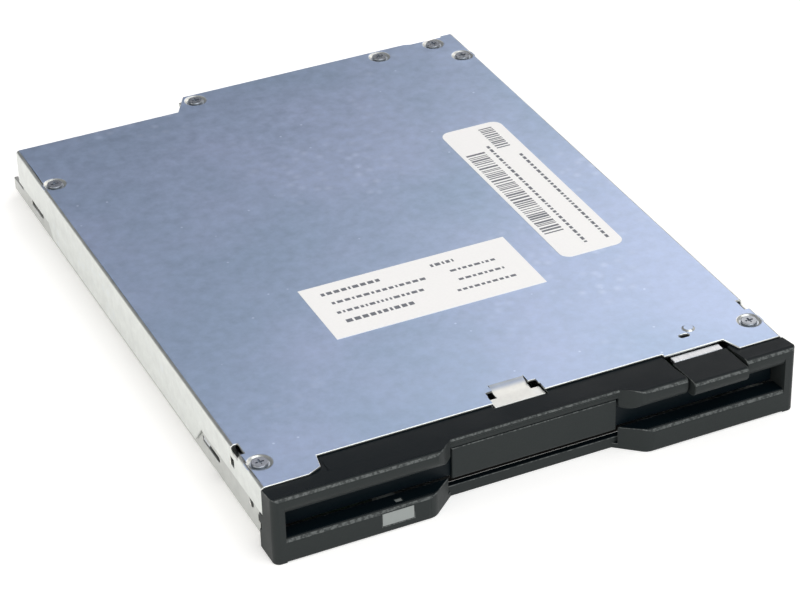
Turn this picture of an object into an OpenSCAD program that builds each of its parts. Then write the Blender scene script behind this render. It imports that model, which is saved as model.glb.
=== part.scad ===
// Slim 3.5-inch floppy disk drive, millimetres.
// X runs right, Y back and Z up. Inside the modules Y starts at the bezel's front plane,
// and place() moves the finished pieces so that the origin is under the middle of the drive.

/* [Disk] */
// Width of the disk that goes in
disk_w = 90; // [86:0.5:94]
// Length of the disk
disk_l = 94; // [90:0.5:98]
// Thickness of the disk
disk_t = 3.3; // [3:0.1:3.6]
// From the disk's leading edge to the middle of its hub
hub_back = 44.5; // [43:0.5:46]
// Near edge of a loaded disk, behind the bezel's front plane
disk_front = 5; // [4:0.5:8]

/* [Clearances] */
// Gap between neighbours that move past each other
run = 0.3; // [0.2:0.05:0.4]
// Gap between pieces that seat against each other
seat = 0.05; // [0.02:0.01:0.1]
// Radial gap of a pin or shaft that turns in its hole
turn = 0.05; // [0.02:0.01:0.08]
// Gap of a pin in its cam slot, each side
cam_play = 0.12; // [0.08:0.01:0.2]
// Play of the disk in its holder, each side
side_play = 0.35; // [0.2:0.05:0.6]
// Play of the disk in its holder, in height
height_play = 0.9; // [0.8:0.05:1.2]

/* [Sheet metal] */
// Sheet of the top cover
cover_t = 0.4; // [0.3:0.05:0.6]
// Sheet of the chassis pan
pan_t = 0.8; // [0.6:0.05:1]
// Sheet of the disk holder
holder_t = 0.4; // [0.3:0.05:0.5]
// Sheet of the eject slide
slide_t = 0.4; // [0.3:0.05:0.5]
// Inside radius of the folds
fold_r = 0.3; // [0.1:0.05:0.5]

/* [Case] */
// Height of the pan's floor above the resting plane
floor_z = 0.7; // [0.5:0.05:1]
// Room between the pan's floor and a loaded disk
motor_room = 1.7; // [1.7:0.05:2.2]
// Room between the eject slide and the top cover
head_room = 1.7; // [1.6:0.05:2.2]
// Room behind the head tower, up to the rear edge
rear_room = 6.6; // [6.4:0.1:9]
// How far the rear stops short on the connector side
rear_step = 5.4; // [4:0.1:7]
// Width of the connector side, from the left edge to the step
step_w = 33.4; // [32:0.1:38]
// Front edge of the cover between its ears
cover_front = 8.9; // [8:0.1:10]
// Drop of the cover's middle tab below the sheet
tab_drop = 0.6; // [0.4:0.05:0.8]
// Half width of the middle tab
tab_half = 4.7; // [4:0.1:6]
// Front edge of the cover's ears
ear_front = 4.7; // [4:0.1:5.5]
// Width of each ear
ear_w = 8.3; // [7:0.1:9]
// Lower edge of the cover's side flaps
flap_z = 2.9; // [2.2:0.1:4]
// Lower edge of the flaps near the front
flap_front_z = 7; // [6.6:0.1:7.4]
// Place of the step in the flaps' lower edge
flap_step_y = 32; // [30:0.5:36]
// Lower edge of the flaps at the rear
flap_rear_z = 5.5; // [5:0.1:6]

/* [Bezel] */
// Rise of the bezel above the top cover
bezel_rise = 0.3; // [0.2:0.05:0.6]
// Overhang of the bezel past the cover, each side
bezel_over = 0.15; // [0:0.05:0.5]
// Depth of the bezel's side walls
bezel_side = 6; // [5.6:0.1:6.6]
// Height of the lips below the slot, at the front
lip_h = 4.6; // [4.4:0.1:4.7]
// Radius of the nose above the slot
nose_r = 2.5; // [1.5:0.1:2.8]
// Depth of the thumb scoop above the slot
scoop_d = 3.1; // [2.4:0.1:3.4]
// Half width of the scoop at its back
scoop_half = 15.5; // [12:0.1:18]
// Half width of the scoop at its front
scoop_mouth = 18.4; // [16:0.1:22]
// Depth of the thumb scoop in the lower lip
lip_scoop_d = 4.2; // [3.6:0.1:4.6]
// Rounding of the scoops' front corners, seen from above
scoop_r = 3.5; // [1:0.1:5]
// Wall of the moulding
mould_t = 1.2; // [0.8:0.1:1.5]
// Middle of the light window
light_x = -26.4; // [-30:0.1:-24]
// Width of the light window
light_w = 5.7; // [3:0.1:7]
// Height of the light window
light_h = 2.5; // [2:0.1:2.8]

/* [Eject] */
// Middle of the eject button
button_x = 32.8; // [30:0.1:34]
// Width of the eject button
button_w = 10.4; // [8:0.1:11]
// How far the button stands out of the bezel
button_out = 1.4; // [1:0.1:2]
// Slit on each side of the button
button_slit = 0.5; // [0.25:0.05:0.6]
// Travel of the eject slide
slide_travel = 4.5; // [4:0.1:5]
// Drop of the disk holder
holder_drop = 2; // [1.8:0.05:2.2]
// Radius of the holder's pins
cam_pin_r = 0.8; // [0.6:0.05:1]

/* [Heads] */
// Radius of the outermost track
track_out = 39.5; // [38:0.5:41]
// Stroke of the head carriage
stroke = 14.8; // [12:0.1:16]
// Length of the head tower
tower_l = 8.4; // [8:0.1:10]
// Half distance between the guide rods
rod_x = 11; // [10.5:0.1:11.5]
// Radius of the guide rods
rod_r = 1; // [0.8:0.05:1.1]
// Middle of the lead screw
screw_x = 20; // [19.5:0.1:24]
// Radius of the lead screw
screw_r = 1.5; // [1.2:0.05:1.8]
// Radius of the stepper motor
stepper_r = 4.8; // [4:0.1:4.9]

/* [Spindle] */
// Radius of the rotor
rotor_r = 15.5; // [14:0.1:16.5]
// Radius of the chucking hub
hub_r = 11.5; // [10.5:0.1:12.5]
// Radius of the spindle above the hub
spindle_r = 2; // [1.8:0.05:2.1]
// Radius of the shaft in its bearing
shaft_r = 1; // [0.8:0.05:1.2]
// Number of stator poles
poles = 12; // [9:3:12]

/* [Labels] */
// Width of the wide label
wide_w = 40.4; // [36:0.1:42]
// Length of the wide label
wide_l = 17.1; // [15:0.1:20]
// From the spindle's middle forwards to the wide label's near edge
wide_near = 16.5; // [14:0.1:20]
// Width of the narrow label
narrow_w = 12.6; // [10:0.1:14]
// Length of the narrow label
narrow_l = 51; // [45:0.1:55]
// From the spindle's middle forwards to the narrow label's near edge
narrow_near = 11.1; // [8:0.1:14]
// Left edge of the narrow label
narrow_x = 26.8; // [25:0.1:30]

/* [Hidden] */
$fn = 48;
e = 0.02;

// Half widths, from the disk outwards
holder_in = disk_w / 2 + side_play;
holder_out = holder_in + holder_t;
flange_in = holder_out + run;
flange_out = flange_in + slide_t;
wall_in = flange_out + run;
wall_out = wall_in + pan_t;
flap_in = wall_out + seat;
half_w = flap_in + cover_t;
bezel_half = half_w + bezel_over;

// Heights, from the resting plane upwards
floor_top = floor_z + pan_t;
load_z = floor_top + motor_room;
media_z = load_z + disk_t / 2;
rail_top = load_z + holder_drop - run;
rail_z = rail_top - holder_t;
roof_in = rail_top + disk_t + height_play;
holder_top = roof_in + holder_t;
slide_z = holder_top + run + 0.1;
slide_top = slide_z + slide_t;
cover_in = slide_top + head_room;
case_h = cover_in + cover_t;
bezel_h = case_h + bezel_rise;
dimple_d = 0.35;
wall_top = cover_in - dimple_d - seat;
slot_top = load_z + holder_drop + disk_t + run;
slot_floor = load_z + holder_drop - 0.8;
roof_z = cover_in - 0.65;
tab_z = roof_z - seat - 0.15;
board_z = floor_top + seat;
board_t = 0.6;
board_top = board_z + board_t;

// Depths, from the bezel's front plane backwards
disk_back = disk_front + disk_l;
spindle_y = disk_back - hub_back;
head_y = spindle_y + track_out;
tower_gap = 3;
tower_y = disk_back + tower_gap + stroke;
tower_end = tower_y + tower_l;
case_d = tower_end + rear_room;
left_d = case_d - rear_step;
rear_out = case_d - cover_t - seat;
rear_in = rear_out - pan_t;
pan_y = bezel_side + 1;
step_x = -half_w + step_w;
middle_y = (case_d - button_out) / 2;

// Middle tab of the cover
tab_front = cover_front - 0.5;
tab_root = cover_front + 5.1;
tab_slope = 1.8;
tab_neck = 3.2;

// Door
door_t = 1;
door_y = scoop_d + 0.9;
door_half = holder_in + 0.35;
pivot_r = 0.6;
pivot_y = door_y + door_t / 2;
pivot_z = roof_z - run - 0.1 - pivot_r - 0.05;
slot_half = door_half + run;
pad_half = scoop_half - run;
pad_top = pivot_z;
band_z = pad_top + 0.2;

// Light window and the pipe that shows its light on top of the lip
light_z = [lip_h - 0.7 - light_h, lip_h - 0.7];
pipe_x = [light_x + 0.2, light_x + 1.4];
pipe_y = [1.3, 2.2];

// Eject slide and holder
slide_y = 17.5;
slide_mid = spindle_y + 15;
holder_y = 12.2;
holder_end = disk_back + 0.6;
pin_z = rail_top + 2.5;
pin_y = [38, holder_end - 9.6];
guide_y = [24.3, 32.1];
guide_z = [4.3, 5.3];
guide_tab = 2.6;
cam_r = cam_pin_r + cam_play;
rail_w = 4.5;
spring_x = wall_in - 4.5;
spring_z = slide_top + head_room / 2;
spring_r = 0.5;
wire_r = 0.14;
spring_y = [14.6, 35.6];
lug_t = 0.5;
notch_z = [3.7, 5];

// Shutter lever
lever_post = [-(half_w - 12), disk_back + 7];
lever_reach = [12, -19];
lever_tip = lever_post + lever_reach;
lever_z = holder_top + run + 0.1;
lever_t = 0.6;
post_r = 1.3;
finger_r = 1;
lever_swing = 43;

// Heads
rod_z = 3.2;
rod_y = [disk_back + 0.6, case_d - 3.2];
support_l = 1.6;
hinge_y = tower_y + 4.7;
hinge_z = slide_top;
hinge_r = 0.6;
arm_z = slide_top + 0.1;
arm_t = 0.7;
head_bottom = roof_in + 0.2;
head_half = 2.4;
head_l = 6;
arm_plate_z = [floor_top + run + 0.1, load_z - 0.2];
tower_top = arm_z - 1.8;
screw_z = floor_top + stepper_r + 0.1;
plate_t = 0.6;
plate_y = tower_end - 3.4;
follower_l = 2.6;
ear_y = disk_back + 0.9;

// Spindle motor
base_t = 0.6;
base_w = 2 * rotor_r + 23;
base_l = 2 * rotor_r + 10;
base_front = rotor_r + 5.5;
base_cut = 14;
rotor_t = 0.6;
rotor_top = load_z - 0.3;
rotor_z = rotor_top - rotor_t;
hub_t = 0.5;
hub_top = rotor_top + hub_t;
drive_r = 1;
drive_at = 8.6;
drive_drop = 0.5;
sleeve_r = 3;
core_z = [floor_z + 0.4, floor_z + 1];
tooth_r = rotor_r - 2.6;

// Boards, switches and connector
strip_x = [-(half_w - 8.5), -(half_w - 19)];
board_x = -13.6;
switch_s = 4;
switch_h = 0.85;
plunger_r = 0.7;
plunger_top = load_z + 0.7;
left_switch = [-(half_w - 11.5), 14.4];
in_switch = [-(half_w - 16.5), 14.4];
right_switch = [half_w - 11.5, 14.4];
plug_x = [-(half_w - 3), step_x - 1];
plug_y = [left_d - 4, case_d - 2.4];
plug_h = 2.6;
latch_t = 1.2;
contacts = 26;
loop_y = tower_y + 3;
loop_r = 1.6;
ribbon_x = [-19, -14.2];
ribbon_t = 0.12;

// Fasteners, each as its place and the piece that it goes into
screw_head_r = 1.45;
screw_head_h = 0.45;
thread_r = 0.8;
side_screw = half_w - 2.5;
rear_screw = case_d - 2.5;
cover_screw_at = [
    [-side_screw, 11.2], [side_screw, 11.2],
    [-side_screw, case_d - 21], [side_screw, case_d - 9.7],
    [step_x + 4.8, rear_screw], [half_w - 17.7, rear_screw], [half_w - 5.6, rear_screw]
];
motor_screw_x = base_w / 2 - 5;
motor_screw_at = [
    [-motor_screw_x, spindle_y - base_front + 4], [motor_screw_x, spindle_y - base_front + 4],
    [motor_screw_x, spindle_y - base_front + base_l - 4]
];
bracket_screw_at = [[screw_x + 4, ear_y + 6], [screw_x + 4, ear_y + 15]];
board_screw_at = [
    [strip_x[0] + 5.2, spindle_y - 24.5], [-(half_w - 5), disk_back + 4.5],
    [-24, disk_back + 4.5], [right_switch[0], 18.6]
];
foot_r = 3;
foot_x = wall_in - foot_r - 0.25;
foot_y = [spindle_y - 28.5, disk_back - 4];
foot_at = [for (y = foot_y, s = [-1, 1]) [s * foot_x, y]];
foot_hole_r = 1.05;
side_hole = [10.6, 5.5];
side_hole_r = 0.85;
chip_x = -(half_w - 13.8);
chip_at = [[chip_x + 6.2, disk_back + 15, 11], [chip_x, spindle_y + 7.5, 7], [chip_x, spindle_y - 10.5, 6]];
chip_h = 0.9;
narrow_r = 2;

// Moves a piece from the bezel's front plane to the drive's own origin
module place() {
    translate([0, -middle_y, 0])
        children();
}

// Block between two corners, given as ranges
module span(x, y, z) {
    translate([x[0], y[0], z[0]])
        cube([x[1] - x[0], y[1] - y[0], z[1] - z[0]]);
}

// A (y, z) profile carried along X
module along_x(x0, x1) {
    translate([x0, 0, 0])
        rotate([90, 0, 90])
            linear_extrude(x1 - x0)
                children();
}

// An (x, z) profile carried along Y
module along_y(y0, y1) {
    translate([0, y1, 0])
        rotate([90, 0, 0])
            linear_extrude(y1 - y0)
                children();
}

// A plan outline carried up
module rise(z0, z1) {
    translate([0, 0, z0])
        linear_extrude(z1 - z0)
            children();
}

// A piece and its mirror image on the other side
module both() {
    children();
    mirror([1, 0, 0])
        children();
}

// Flat bar of width w, from p to q
module strip(p, q, w) {
    translate(p)
        rotate(atan2(q[1] - p[1], q[0] - p[0]))
            translate([0, -w / 2])
                square([norm(q - p), w]);
}

// Slot with round ends, from p to q
module stadium(p, q, d) {
    translate(p)
        circle(d = d);
    translate(q)
        circle(d = d);
    strip(p, q, d);
}

// Rectangle with round corners, from its lower left corner
module round_rect(p, size, r) {
    translate([p[0] + r, p[1]])
        square([size[0] - 2 * r, size[1]]);
    translate([p[0], p[1] + r])
        square([size[0], size[1] - 2 * r]);
    for (i = [0, 1], j = [0, 1])
        translate([p[0] + r + i * (size[0] - 2 * r), p[1] + r + j * (size[1] - 2 * r)])
            circle(r);
}

// What has to go from a corner to leave it round; s points into the piece
module corner_waste(c, r, s) {
    difference() {
        translate([c[0] - (s[0] > 0 ? e : r), c[1] - (s[1] > 0 ? e : r)])
            square(r + e);
        translate([c[0] + s[0] * r, c[1] + s[1] * r])
            circle(r);
    }
}

// Folded channel, open at the top, with its base at z0
module channel(half, z0, z1, t) {
    r = t + fold_r;
    difference() {
        trough(half, z0, z1, r);
        trough(half - t, z0 + t, z1 + 1, fold_r);
    }
}

module trough(half, z0, z1, r) {
    translate([-half, z0 + r])
        square([2 * half, z1 - z0 - r]);
    translate([-half + r, z0])
        square([2 * (half - r), 2 * r]);
    for (s = [-1, 1])
        translate([s * (half - r), z0 + r])
            circle(r);
}

// Upright pin from z0 to z1
module post(p, r, z0, z1) {
    translate([p[0], p[1], z0])
        cylinder(r = r, h = z1 - z0);
}

// Pin along X and pin along Y
module bar_x(x0, x1, y, z, r) {
    translate([x0, y, z])
        rotate([0, 90, 0])
            cylinder(r = r, h = x1 - x0);
}

module bar_y(y0, y1, x, z, r) {
    translate([x, y0, z])
        rotate([-90, 0, 0])
            cylinder(r = r, h = y1 - y0);
}

// Round wire along a list of points, kept untwisted from one ring to the next
function unit(v) = v / norm(v);
function aim(p, i) = unit(p[min(i + 1, len(p) - 1)] - p[max(i - 1, 0)]);
function across(n, t) = unit(n - (n * t) * t);
module wire(p, r, start) {
    sides = 6;
    last = len(p) - 1;
    n = [for (i = 0, v = across(start, aim(p, 0)); i <= last;
              i = i + 1, v = across(v, aim(p, min(i, last)))) v];
    points = [for (i = [0 : last], k = [0 : sides - 1])
        p[i] + r * (cos(360 * k / sides) * n[i] + sin(360 * k / sides) * cross(aim(p, i), n[i]))];
    skin = [for (i = [0 : last - 1], k = [0 : sides - 1], half = [0, 1])
        let (a = i * sides + k, b = i * sides + (k + 1) % sides)
        half == 0 ? [a, a + sides, b] : [b, a + sides, b + sides]];
    caps = [for (k = [1 : sides - 2], end = [0, 1])
        end == 0 ? [0, k, k + 1] : [last * sides, last * sides + k + 1, last * sides + k]];
    polyhedron(points = points, faces = concat(skin, caps));
}

// Least gap of a wound wire to itself, measured between points at least a half turn apart
function least_gap(p, r) =
    min([for (i = [0 : len(p) - 6], j = [i + 5 : len(p) - 1]) norm(p[i] - p[j])]) - 2 * r;

// Small pan-head screw with a cross recess, head down on z
module screw(p, z, tip) {
    difference() {
        union() {
            post(p, screw_head_r, z, z + screw_head_h);
            post(p, thread_r, tip, z + e);
        }
        for (a = [0, 90])
            translate([p[0], p[1], z + screw_head_h])
                rotate(a)
                    cube([1.5, 0.35, 0.5], center = true);
    }
}

// Plan of the top sheet: ears, button notch and stepped rear edge
module cover_plan() {
    notch_y = cover_front - 0.7;
    slit = button_w / 2 + button_slit;
    polygon([
        [-half_w, ear_front], [-half_w + ear_w, ear_front],
        [-half_w + ear_w + 2.5, ear_front + 1.1], [-half_w + ear_w + 3.1, cover_front],
        [button_x - slit, cover_front],
        [button_x - slit, notch_y], [button_x + slit, notch_y],
        [half_w - ear_w, ear_front], [half_w, ear_front], [half_w, case_d],
        [half_w - 2.8, case_d], [half_w - 2.8, case_d - 0.6],
        [half_w - 9.8, case_d - 0.6], [half_w - 11, case_d],
        [step_x + 3.1, case_d], [step_x, left_d], [-half_w, left_d]
    ]);
}

// What lies below the side flaps' lower edge
module below_flaps() {
    taper_y = left_d - 19.4;
    polygon([
        [-1, -1], [case_d + 1, -1], [case_d + 1, flap_rear_z], [taper_y + 2, flap_rear_z], [taper_y, flap_z],
        [flap_step_y + 2.5, flap_z], [flap_step_y - 1, flap_front_z], [-1, flap_front_z]
    ]);
}

// Side view of the middle tab, which steps down from the sheet in a short slope
module tab_profile() {
    polygon([
        [tab_root + e, case_h], [tab_root, case_h], [tab_root - tab_slope, case_h - tab_drop],
        [tab_front, case_h - tab_drop], [tab_front, cover_in - tab_drop],
        [tab_root - tab_slope, cover_in - tab_drop], [tab_root, cover_in], [tab_root + e, cover_in]
    ]);
}

module top_cover() {
    relief = tab_neck + 0.75;
    lance = 0.15;
    dimple_r = 2.2;
    color("lightsteelblue")
        place()
            difference() {
                union() {
                    intersection() {
                        along_y(ear_front, case_d)
                            translate([0, case_h])
                                mirror([0, 1])
                                    channel(half_w, 0, case_h, cover_t);
                        rise(0, case_h)
                            difference() {
                                cover_plan();
                                translate([-tab_half - lance, 0])
                                    square([2 * (tab_half + lance), tab_root - tab_slope - 1.2]);
                                translate([-tab_neck - lance, 0])
                                    square([2 * (tab_neck + lance), tab_root]);
                            }
                    }
                    along_x(-tab_neck, tab_neck)
                        tab_profile();
                    span([-tab_half, tab_half], [tab_front, tab_root - tab_slope - 1.2 - lance],
                         [cover_in - tab_drop, case_h - tab_drop]);
                    span([step_x + 4, half_w - 12], [case_d - cover_t, case_d],
                         [case_h - 4, case_h - cover_t / 2]);
                    translate([button_x + 2.2, cover_front + 4.9, case_h - e])
                        cylinder(r1 = 1.2, r2 = 0.8, h = 0.25);
                    for (p = cover_screw_at)
                        intersection() {
                            post(p, dimple_r + cover_t, cover_in - dimple_d, cover_in + cover_t / 2);
                            rise(0, case_h)
                                cover_plan();
                        }
                }
                along_x(-half_w - 1, half_w + 1)
                    below_flaps();
                for (p = cover_screw_at) {
                    translate([p[0], p[1], case_h - dimple_d])
                        cylinder(r1 = screw_head_r + 0.2, r2 = dimple_r, h = dimple_d + e);
                    post(p, thread_r + 0.15, cover_in - 1, case_h);
                }
                for (s = [-1, 1])
                    span([s * relief - 0.75, s * relief + 0.75],
                         [tab_root - tab_slope - 1.2 - lance, tab_root - tab_slope],
                         [cover_in - 1, case_h + 1]);
                rise(cover_in - 1, case_h + 1)
                    stadium([button_x, cover_front + 3.3], [button_x + 0.9, cover_front + 3.3], 1);
                both() {
                    span([flap_in - 1, half_w + 1], [16.4, 18], [8.6, 10.2]);
                    span([half_w - 1.3, half_w + 1], [14.6, 17.6], [case_h - 1.1, case_h + 1]);
                }
            }
}

// Holes and slots that the side walls of the pan share
module wall_cuts() {
    x = [wall_in - 1, wall_out + 1];
    along_x(x[0], x[1]) {
        for (y = pin_y) {
            translate([y, pin_z - holder_drop])
                circle(cam_r);
            translate([y - cam_r, pin_z - holder_drop])
                square([2 * cam_r, wall_top]);
        }
        stadium([guide_y[0] + 0.5, guide_z[0] + 0.5], [guide_y[1] - 0.5, guide_z[0] + 0.5], 1);
        stadium([left_d - 12, flap_rear_z - 1.2], [left_d - 6.4, flap_rear_z - 1.2], 1.4);
        translate(side_hole)
            circle(side_hole_r);
        translate([pan_y + 2.2, flap_front_z + 0.6])
            square([2, 2]);
        translate([14.5, 8.4])
            square([3.8, wall_top]);
        translate([guide_y[0] + 0.8, floor_z - 1])
            square([2.8, 2]);
        translate([pan_y - 1, notch_z[0]])
            square([1.9, notch_z[1] - notch_z[0]]);
    }
}

module chassis() {
    tab_l = 4.4;
    ledge_half = 2.8;
    low_wall = 4;
    opening = rotor_r + 1;
    color("darkgray")
        place()
            difference() {
                union() {
                    difference() {
                        along_y(pan_y, rear_out)
                            channel(wall_out, floor_z, wall_top, pan_t);
                        span([-half_w, step_x - 1], [left_d - 0.8, case_d + 1], [low_wall, case_h]);
                    }
                    span([step_x + 4, wall_out - pan_t], [rear_in, rear_out], [floor_z, wall_top]);
                    for (i = [0 : 3])
                        let (p = cover_screw_at[i])
                            mirror([p[0] < 0 ? 1 : 0, 0, 0])
                                span([side_screw - tab_l, wall_out - pan_t / 2],
                                     [p[1] - ledge_half, p[1] + ledge_half], [wall_top - pan_t, wall_top]);
                    both()
                        span([spring_x - 1.2, spring_x + 1.2],
                             [cover_screw_at[0][1] - ledge_half, spring_y[0] - 0.4],
                             [wall_top - pan_t, wall_top]);
                    for (i = [4 : 6])
                        let (p = cover_screw_at[i])
                            span([p[0] - ledge_half, p[0] + ledge_half], [rear_out - tab_l, rear_out],
                                 [wall_top - pan_t, wall_top]);
                    for (p = foot_at)
                        post(p, foot_r, 0, floor_top);
                }
                both() {
                    wall_cuts();
                    bar_y(spring_y[0] - 1.8, spring_y[0] + 1, spring_x, spring_z, wire_r + 0.1);
                }
                for (p = cover_screw_at)
                    post(p, thread_r + seat, wall_top - 2, wall_top + 1);
                post([0, spindle_y], opening, floor_z - 1, floor_top + 1);
                rise(floor_z - 1, floor_top + 1)
                    round_rect([-6, spindle_y + 23], [12, 42], 2);
                for (c = chip_at)
                    rise(floor_z - 1, floor_top + 1)
                        round_rect([c[0] - c[2] / 2 - 0.8, c[1] - c[2] / 2 - 0.8],
                                   [c[2] + 1.6, c[2] + 1.6], 1);
                for (p = concat(motor_screw_at, bracket_screw_at, board_screw_at))
                    post(p, thread_r + seat, floor_z - 1, floor_top + 1);
                for (p = foot_at)
                    post(p, foot_hole_r, -1, floor_top + 1);
                rise(floor_z - 1, floor_top + 1)
                    round_rect([27, spindle_y + 22], [12, 18], 2);
                rise(floor_z - 1, floor_top + 1)
                    round_rect([30, spindle_y + 56], [10, 12], 2);
                both()
                    rise(floor_z - 1, floor_top + 1)
                        stadium([-9, 14], [-16, 14], 4);
            }
}

// Plan of a thumb scoop that is half wide at its back, at depth d, widened by w for its wall.
// Its front corners are rounded: each arc starts on the front line and ends along the slanted side.
module scoop_plan(half, mouth, d, w) {
    bend = 90 - atan((mouth - half) / d);
    tangent = scoop_r * tan(bend / 2);
    middle = [mouth + w + tangent, scoop_r];
    side = [for (a = [0 : bend / 6 : bend]) middle - scoop_r * [sin(a), cos(a)]];
    right = concat([[middle[0], -1]], side, [[half + w, d + w]]);
    left = [for (i = [len(right) - 1 : -1 : 0]) [-right[i][0], right[i][1]]];
    polygon(concat(right, left));
}

// Top line of the bezel, which falls from its brow to the ears, and less steeply on to the cover's front edge
brow_end = [ear_front - 0.15, cover_in + 0.1];
function bezel_top(y) = y < brow_end[0]
    ? bezel_h - (bezel_h - brow_end[1]) * (y - 1) / (brow_end[0] - 1)
    : brow_end[1] - (brow_end[1] - cover_in + seat) * (y - brow_end[0]) / (cover_front - 0.2 - brow_end[0]);

module border_profile() {
    brow_r = 0.9;
    depth = door_y - 0.4;
    difference() {
        polygon([
            [0, slot_top], [depth, slot_top], [depth, roof_z], [cover_front + 2, roof_z],
            [cover_front + 2, cover_in - seat], [cover_front - 0.2, cover_in - seat],
            brow_end, [1, bezel_h], [0, bezel_h]
        ]);
        corner_waste([0, slot_top], nose_r, [1, 1]);
        corner_waste([0, bezel_h], brow_r, [1, -1]);
    }
}

// Band above the scoop, with a rounded bead along its upper edge
module band_profile() {
    bead = 0.25;
    brow = bezel_top(scoop_d) - 0.4;
    polygon([
        [scoop_d, band_z], [door_y - 0.4, band_z], [door_y - 0.4, roof_z], [scoop_d + 2, roof_z],
        [scoop_d + 2, bezel_top(scoop_d + 2)], [scoop_d + 0.45, bezel_top(scoop_d + 0.45)],
        [scoop_d + 0.1 - bead / 2, brow + 0.28], [scoop_d - bead, brow], [scoop_d - bead, brow - 0.25],
        [scoop_d, brow - 0.5]
    ]);
}

module lip_profile() {
    difference() {
        polygon([
            [0, 0], [bezel_side, 0], [bezel_side, 1], [door_y - 0.4, 1],
            [door_y - 0.4, slot_floor], [door_y - 1.1, slot_floor], [0.9, lip_h], [0, lip_h]
        ]);
        corner_waste([0, lip_h], 0.9, [1, -1]);
        corner_waste([0, 0], 0.5, [1, 1]);
    }
}

// Shape of the bezel seen from above, with round front corners
module bezel_plan() {
    r = 1.2;
    difference() {
        translate([-bezel_half, 0])
            square([2 * bezel_half, cover_front + 4]);
        for (s = [-1, 1])
            corner_waste([s * bezel_half, 0], r, [-s, 1]);
    }
}

module front_bezel() {
    lip_mouth = scoop_mouth + 1.5;
    lip_half = scoop_half - 0.5;
    slit = button_w / 2 + button_slit;
    roof_half = half_w - ear_w - 0.6;
    arm_x = [wall_in - 0.9, wall_in - seat];
    catch_z = flap_front_z + 0.7;
    rib_x = [-half_w + 10, -scoop_mouth - 2.1, scoop_mouth + 2.1, button_x - 3.8, half_w - 10];
    color("dimgray")
        place()
            difference() {
                intersection() {
                    union() {
                        difference() {
                            along_x(-bezel_half, bezel_half)
                                border_profile();
                            rise(0, bezel_h + 1)
                                scoop_plan(scoop_half, scoop_mouth, scoop_d, 0);
                            span([-scoop_half, scoop_half], [0, door_y], [0, band_z]);
                            difference() {
                                span([-slot_half, slot_half], [mould_t + 0.4, door_y],
                                     [slot_top + mould_t, roof_z]);
                                rise(0, bezel_h + 1)
                                    scoop_plan(scoop_half, scoop_mouth, scoop_d, mould_t);
                            }
                        }
                        along_x(-scoop_half - 1.5, scoop_half + 1.5)
                            band_profile();
                        difference() {
                            along_x(-bezel_half, bezel_half)
                                lip_profile();
                            rise(-1, bezel_h)
                                scoop_plan(lip_half, lip_mouth, lip_scoop_d, 0);
                            difference() {
                                span([-slot_half, slot_half], [mould_t, door_y], [1, slot_floor - mould_t]);
                                rise(0, bezel_h)
                                    scoop_plan(lip_half, lip_mouth, lip_scoop_d, mould_t);
                                for (x = rib_x)
                                    span([x - 0.5, x + 0.5], [0, bezel_side], [0, bezel_h]);
                            }
                        }
                        span([-lip_mouth, lip_mouth], [lip_scoop_d, lip_scoop_d + mould_t],
                             [0, lip_h - 2.5]);
                        both() {
                            along_x(slot_half, bezel_half)
                                polygon([[0, 0], [bezel_side, 0], [bezel_side, bezel_top(bezel_side)],
                                         brow_end, [1, bezel_h], [0, bezel_h]]);
                            span(arm_x, [bezel_side - 0.5, pan_y + 4.4], [catch_z - 0.4, catch_z + 1.9]);
                            span([arm_x[1] - e, wall_out - 0.2], [pan_y + 2.3, pan_y + 4.1],
                                 [catch_z, catch_z + 1.7]);
                        }
                    }
                    rise(0, bezel_h)
                        bezel_plan();
                }
                along_x(-bezel_half - 1, bezel_half + 1)
                    corner_waste([0, bezel_h], 0.9, [1, -1]);
                both() {
                    span([half_w - ear_w - 3.4, bezel_half + 1], [ear_front - 0.15, cover_front + 5],
                         [cover_in - seat, bezel_h + 1]);
                    span([flap_in - seat, bezel_half + 1], [ear_front - 0.15, cover_front + 5],
                         [flap_front_z - 0.15, bezel_h + 1]);
                    span([roof_half - 0.6, bezel_half + 1], [pan_y - 0.3, cover_front + 5],
                         [roof_z - 1, bezel_h]);
                    span([wall_in, bezel_half + 1], [bezel_side - 0.8, bezel_side + 1], notch_z);
                    bar_x(slot_half - 1, slot_half + 1.2, pivot_y, pivot_z, pivot_r + turn);
                }
                span([button_x - slit, button_x + slit], [-1, cover_front + 5], [slot_top - 1, bezel_h + 1]);
                span([-tab_half - 0.3, tab_half + 0.3], [tab_front - 0.3, cover_front + 5],
                     [roof_z - 1, bezel_h + 1]);
                span([light_x - light_w / 2, light_x + light_w / 2], [-1, mould_t + 1], light_z);
                span(pipe_x, pipe_y, [light_z[1] - 1, lip_h + 1]);
            }
}

module light_guide() {
    x = light_w / 2 - seat;
    color("gainsboro")
        place() {
            span([light_x - x, light_x + x], [0.1, mould_t + 1], [light_z[0] + seat, light_z[1] - seat]);
            span([light_x - 1.5, light_x + 1.65], [mould_t + 1 - e, pan_y + 1.2], [1.6, 3]);
            span([pipe_x[0] + seat, pipe_x[1] - seat], [pipe_y[0] + seat, pipe_y[1] - seat],
                 [light_z[1] - 0.2, lip_h - 0.25]);
        }
}

module front_light() {
    color("palegreen")
        place() {
            span([light_x - 1.4, light_x + 1.6], [pan_y + 1.5, pan_y + 3.4], [board_top, board_top + 0.5]);
            bar_y(pan_y + 1.5, pan_y + 3, light_x + 0.1, board_top + 0.75, 0.7);
        }
}

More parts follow.
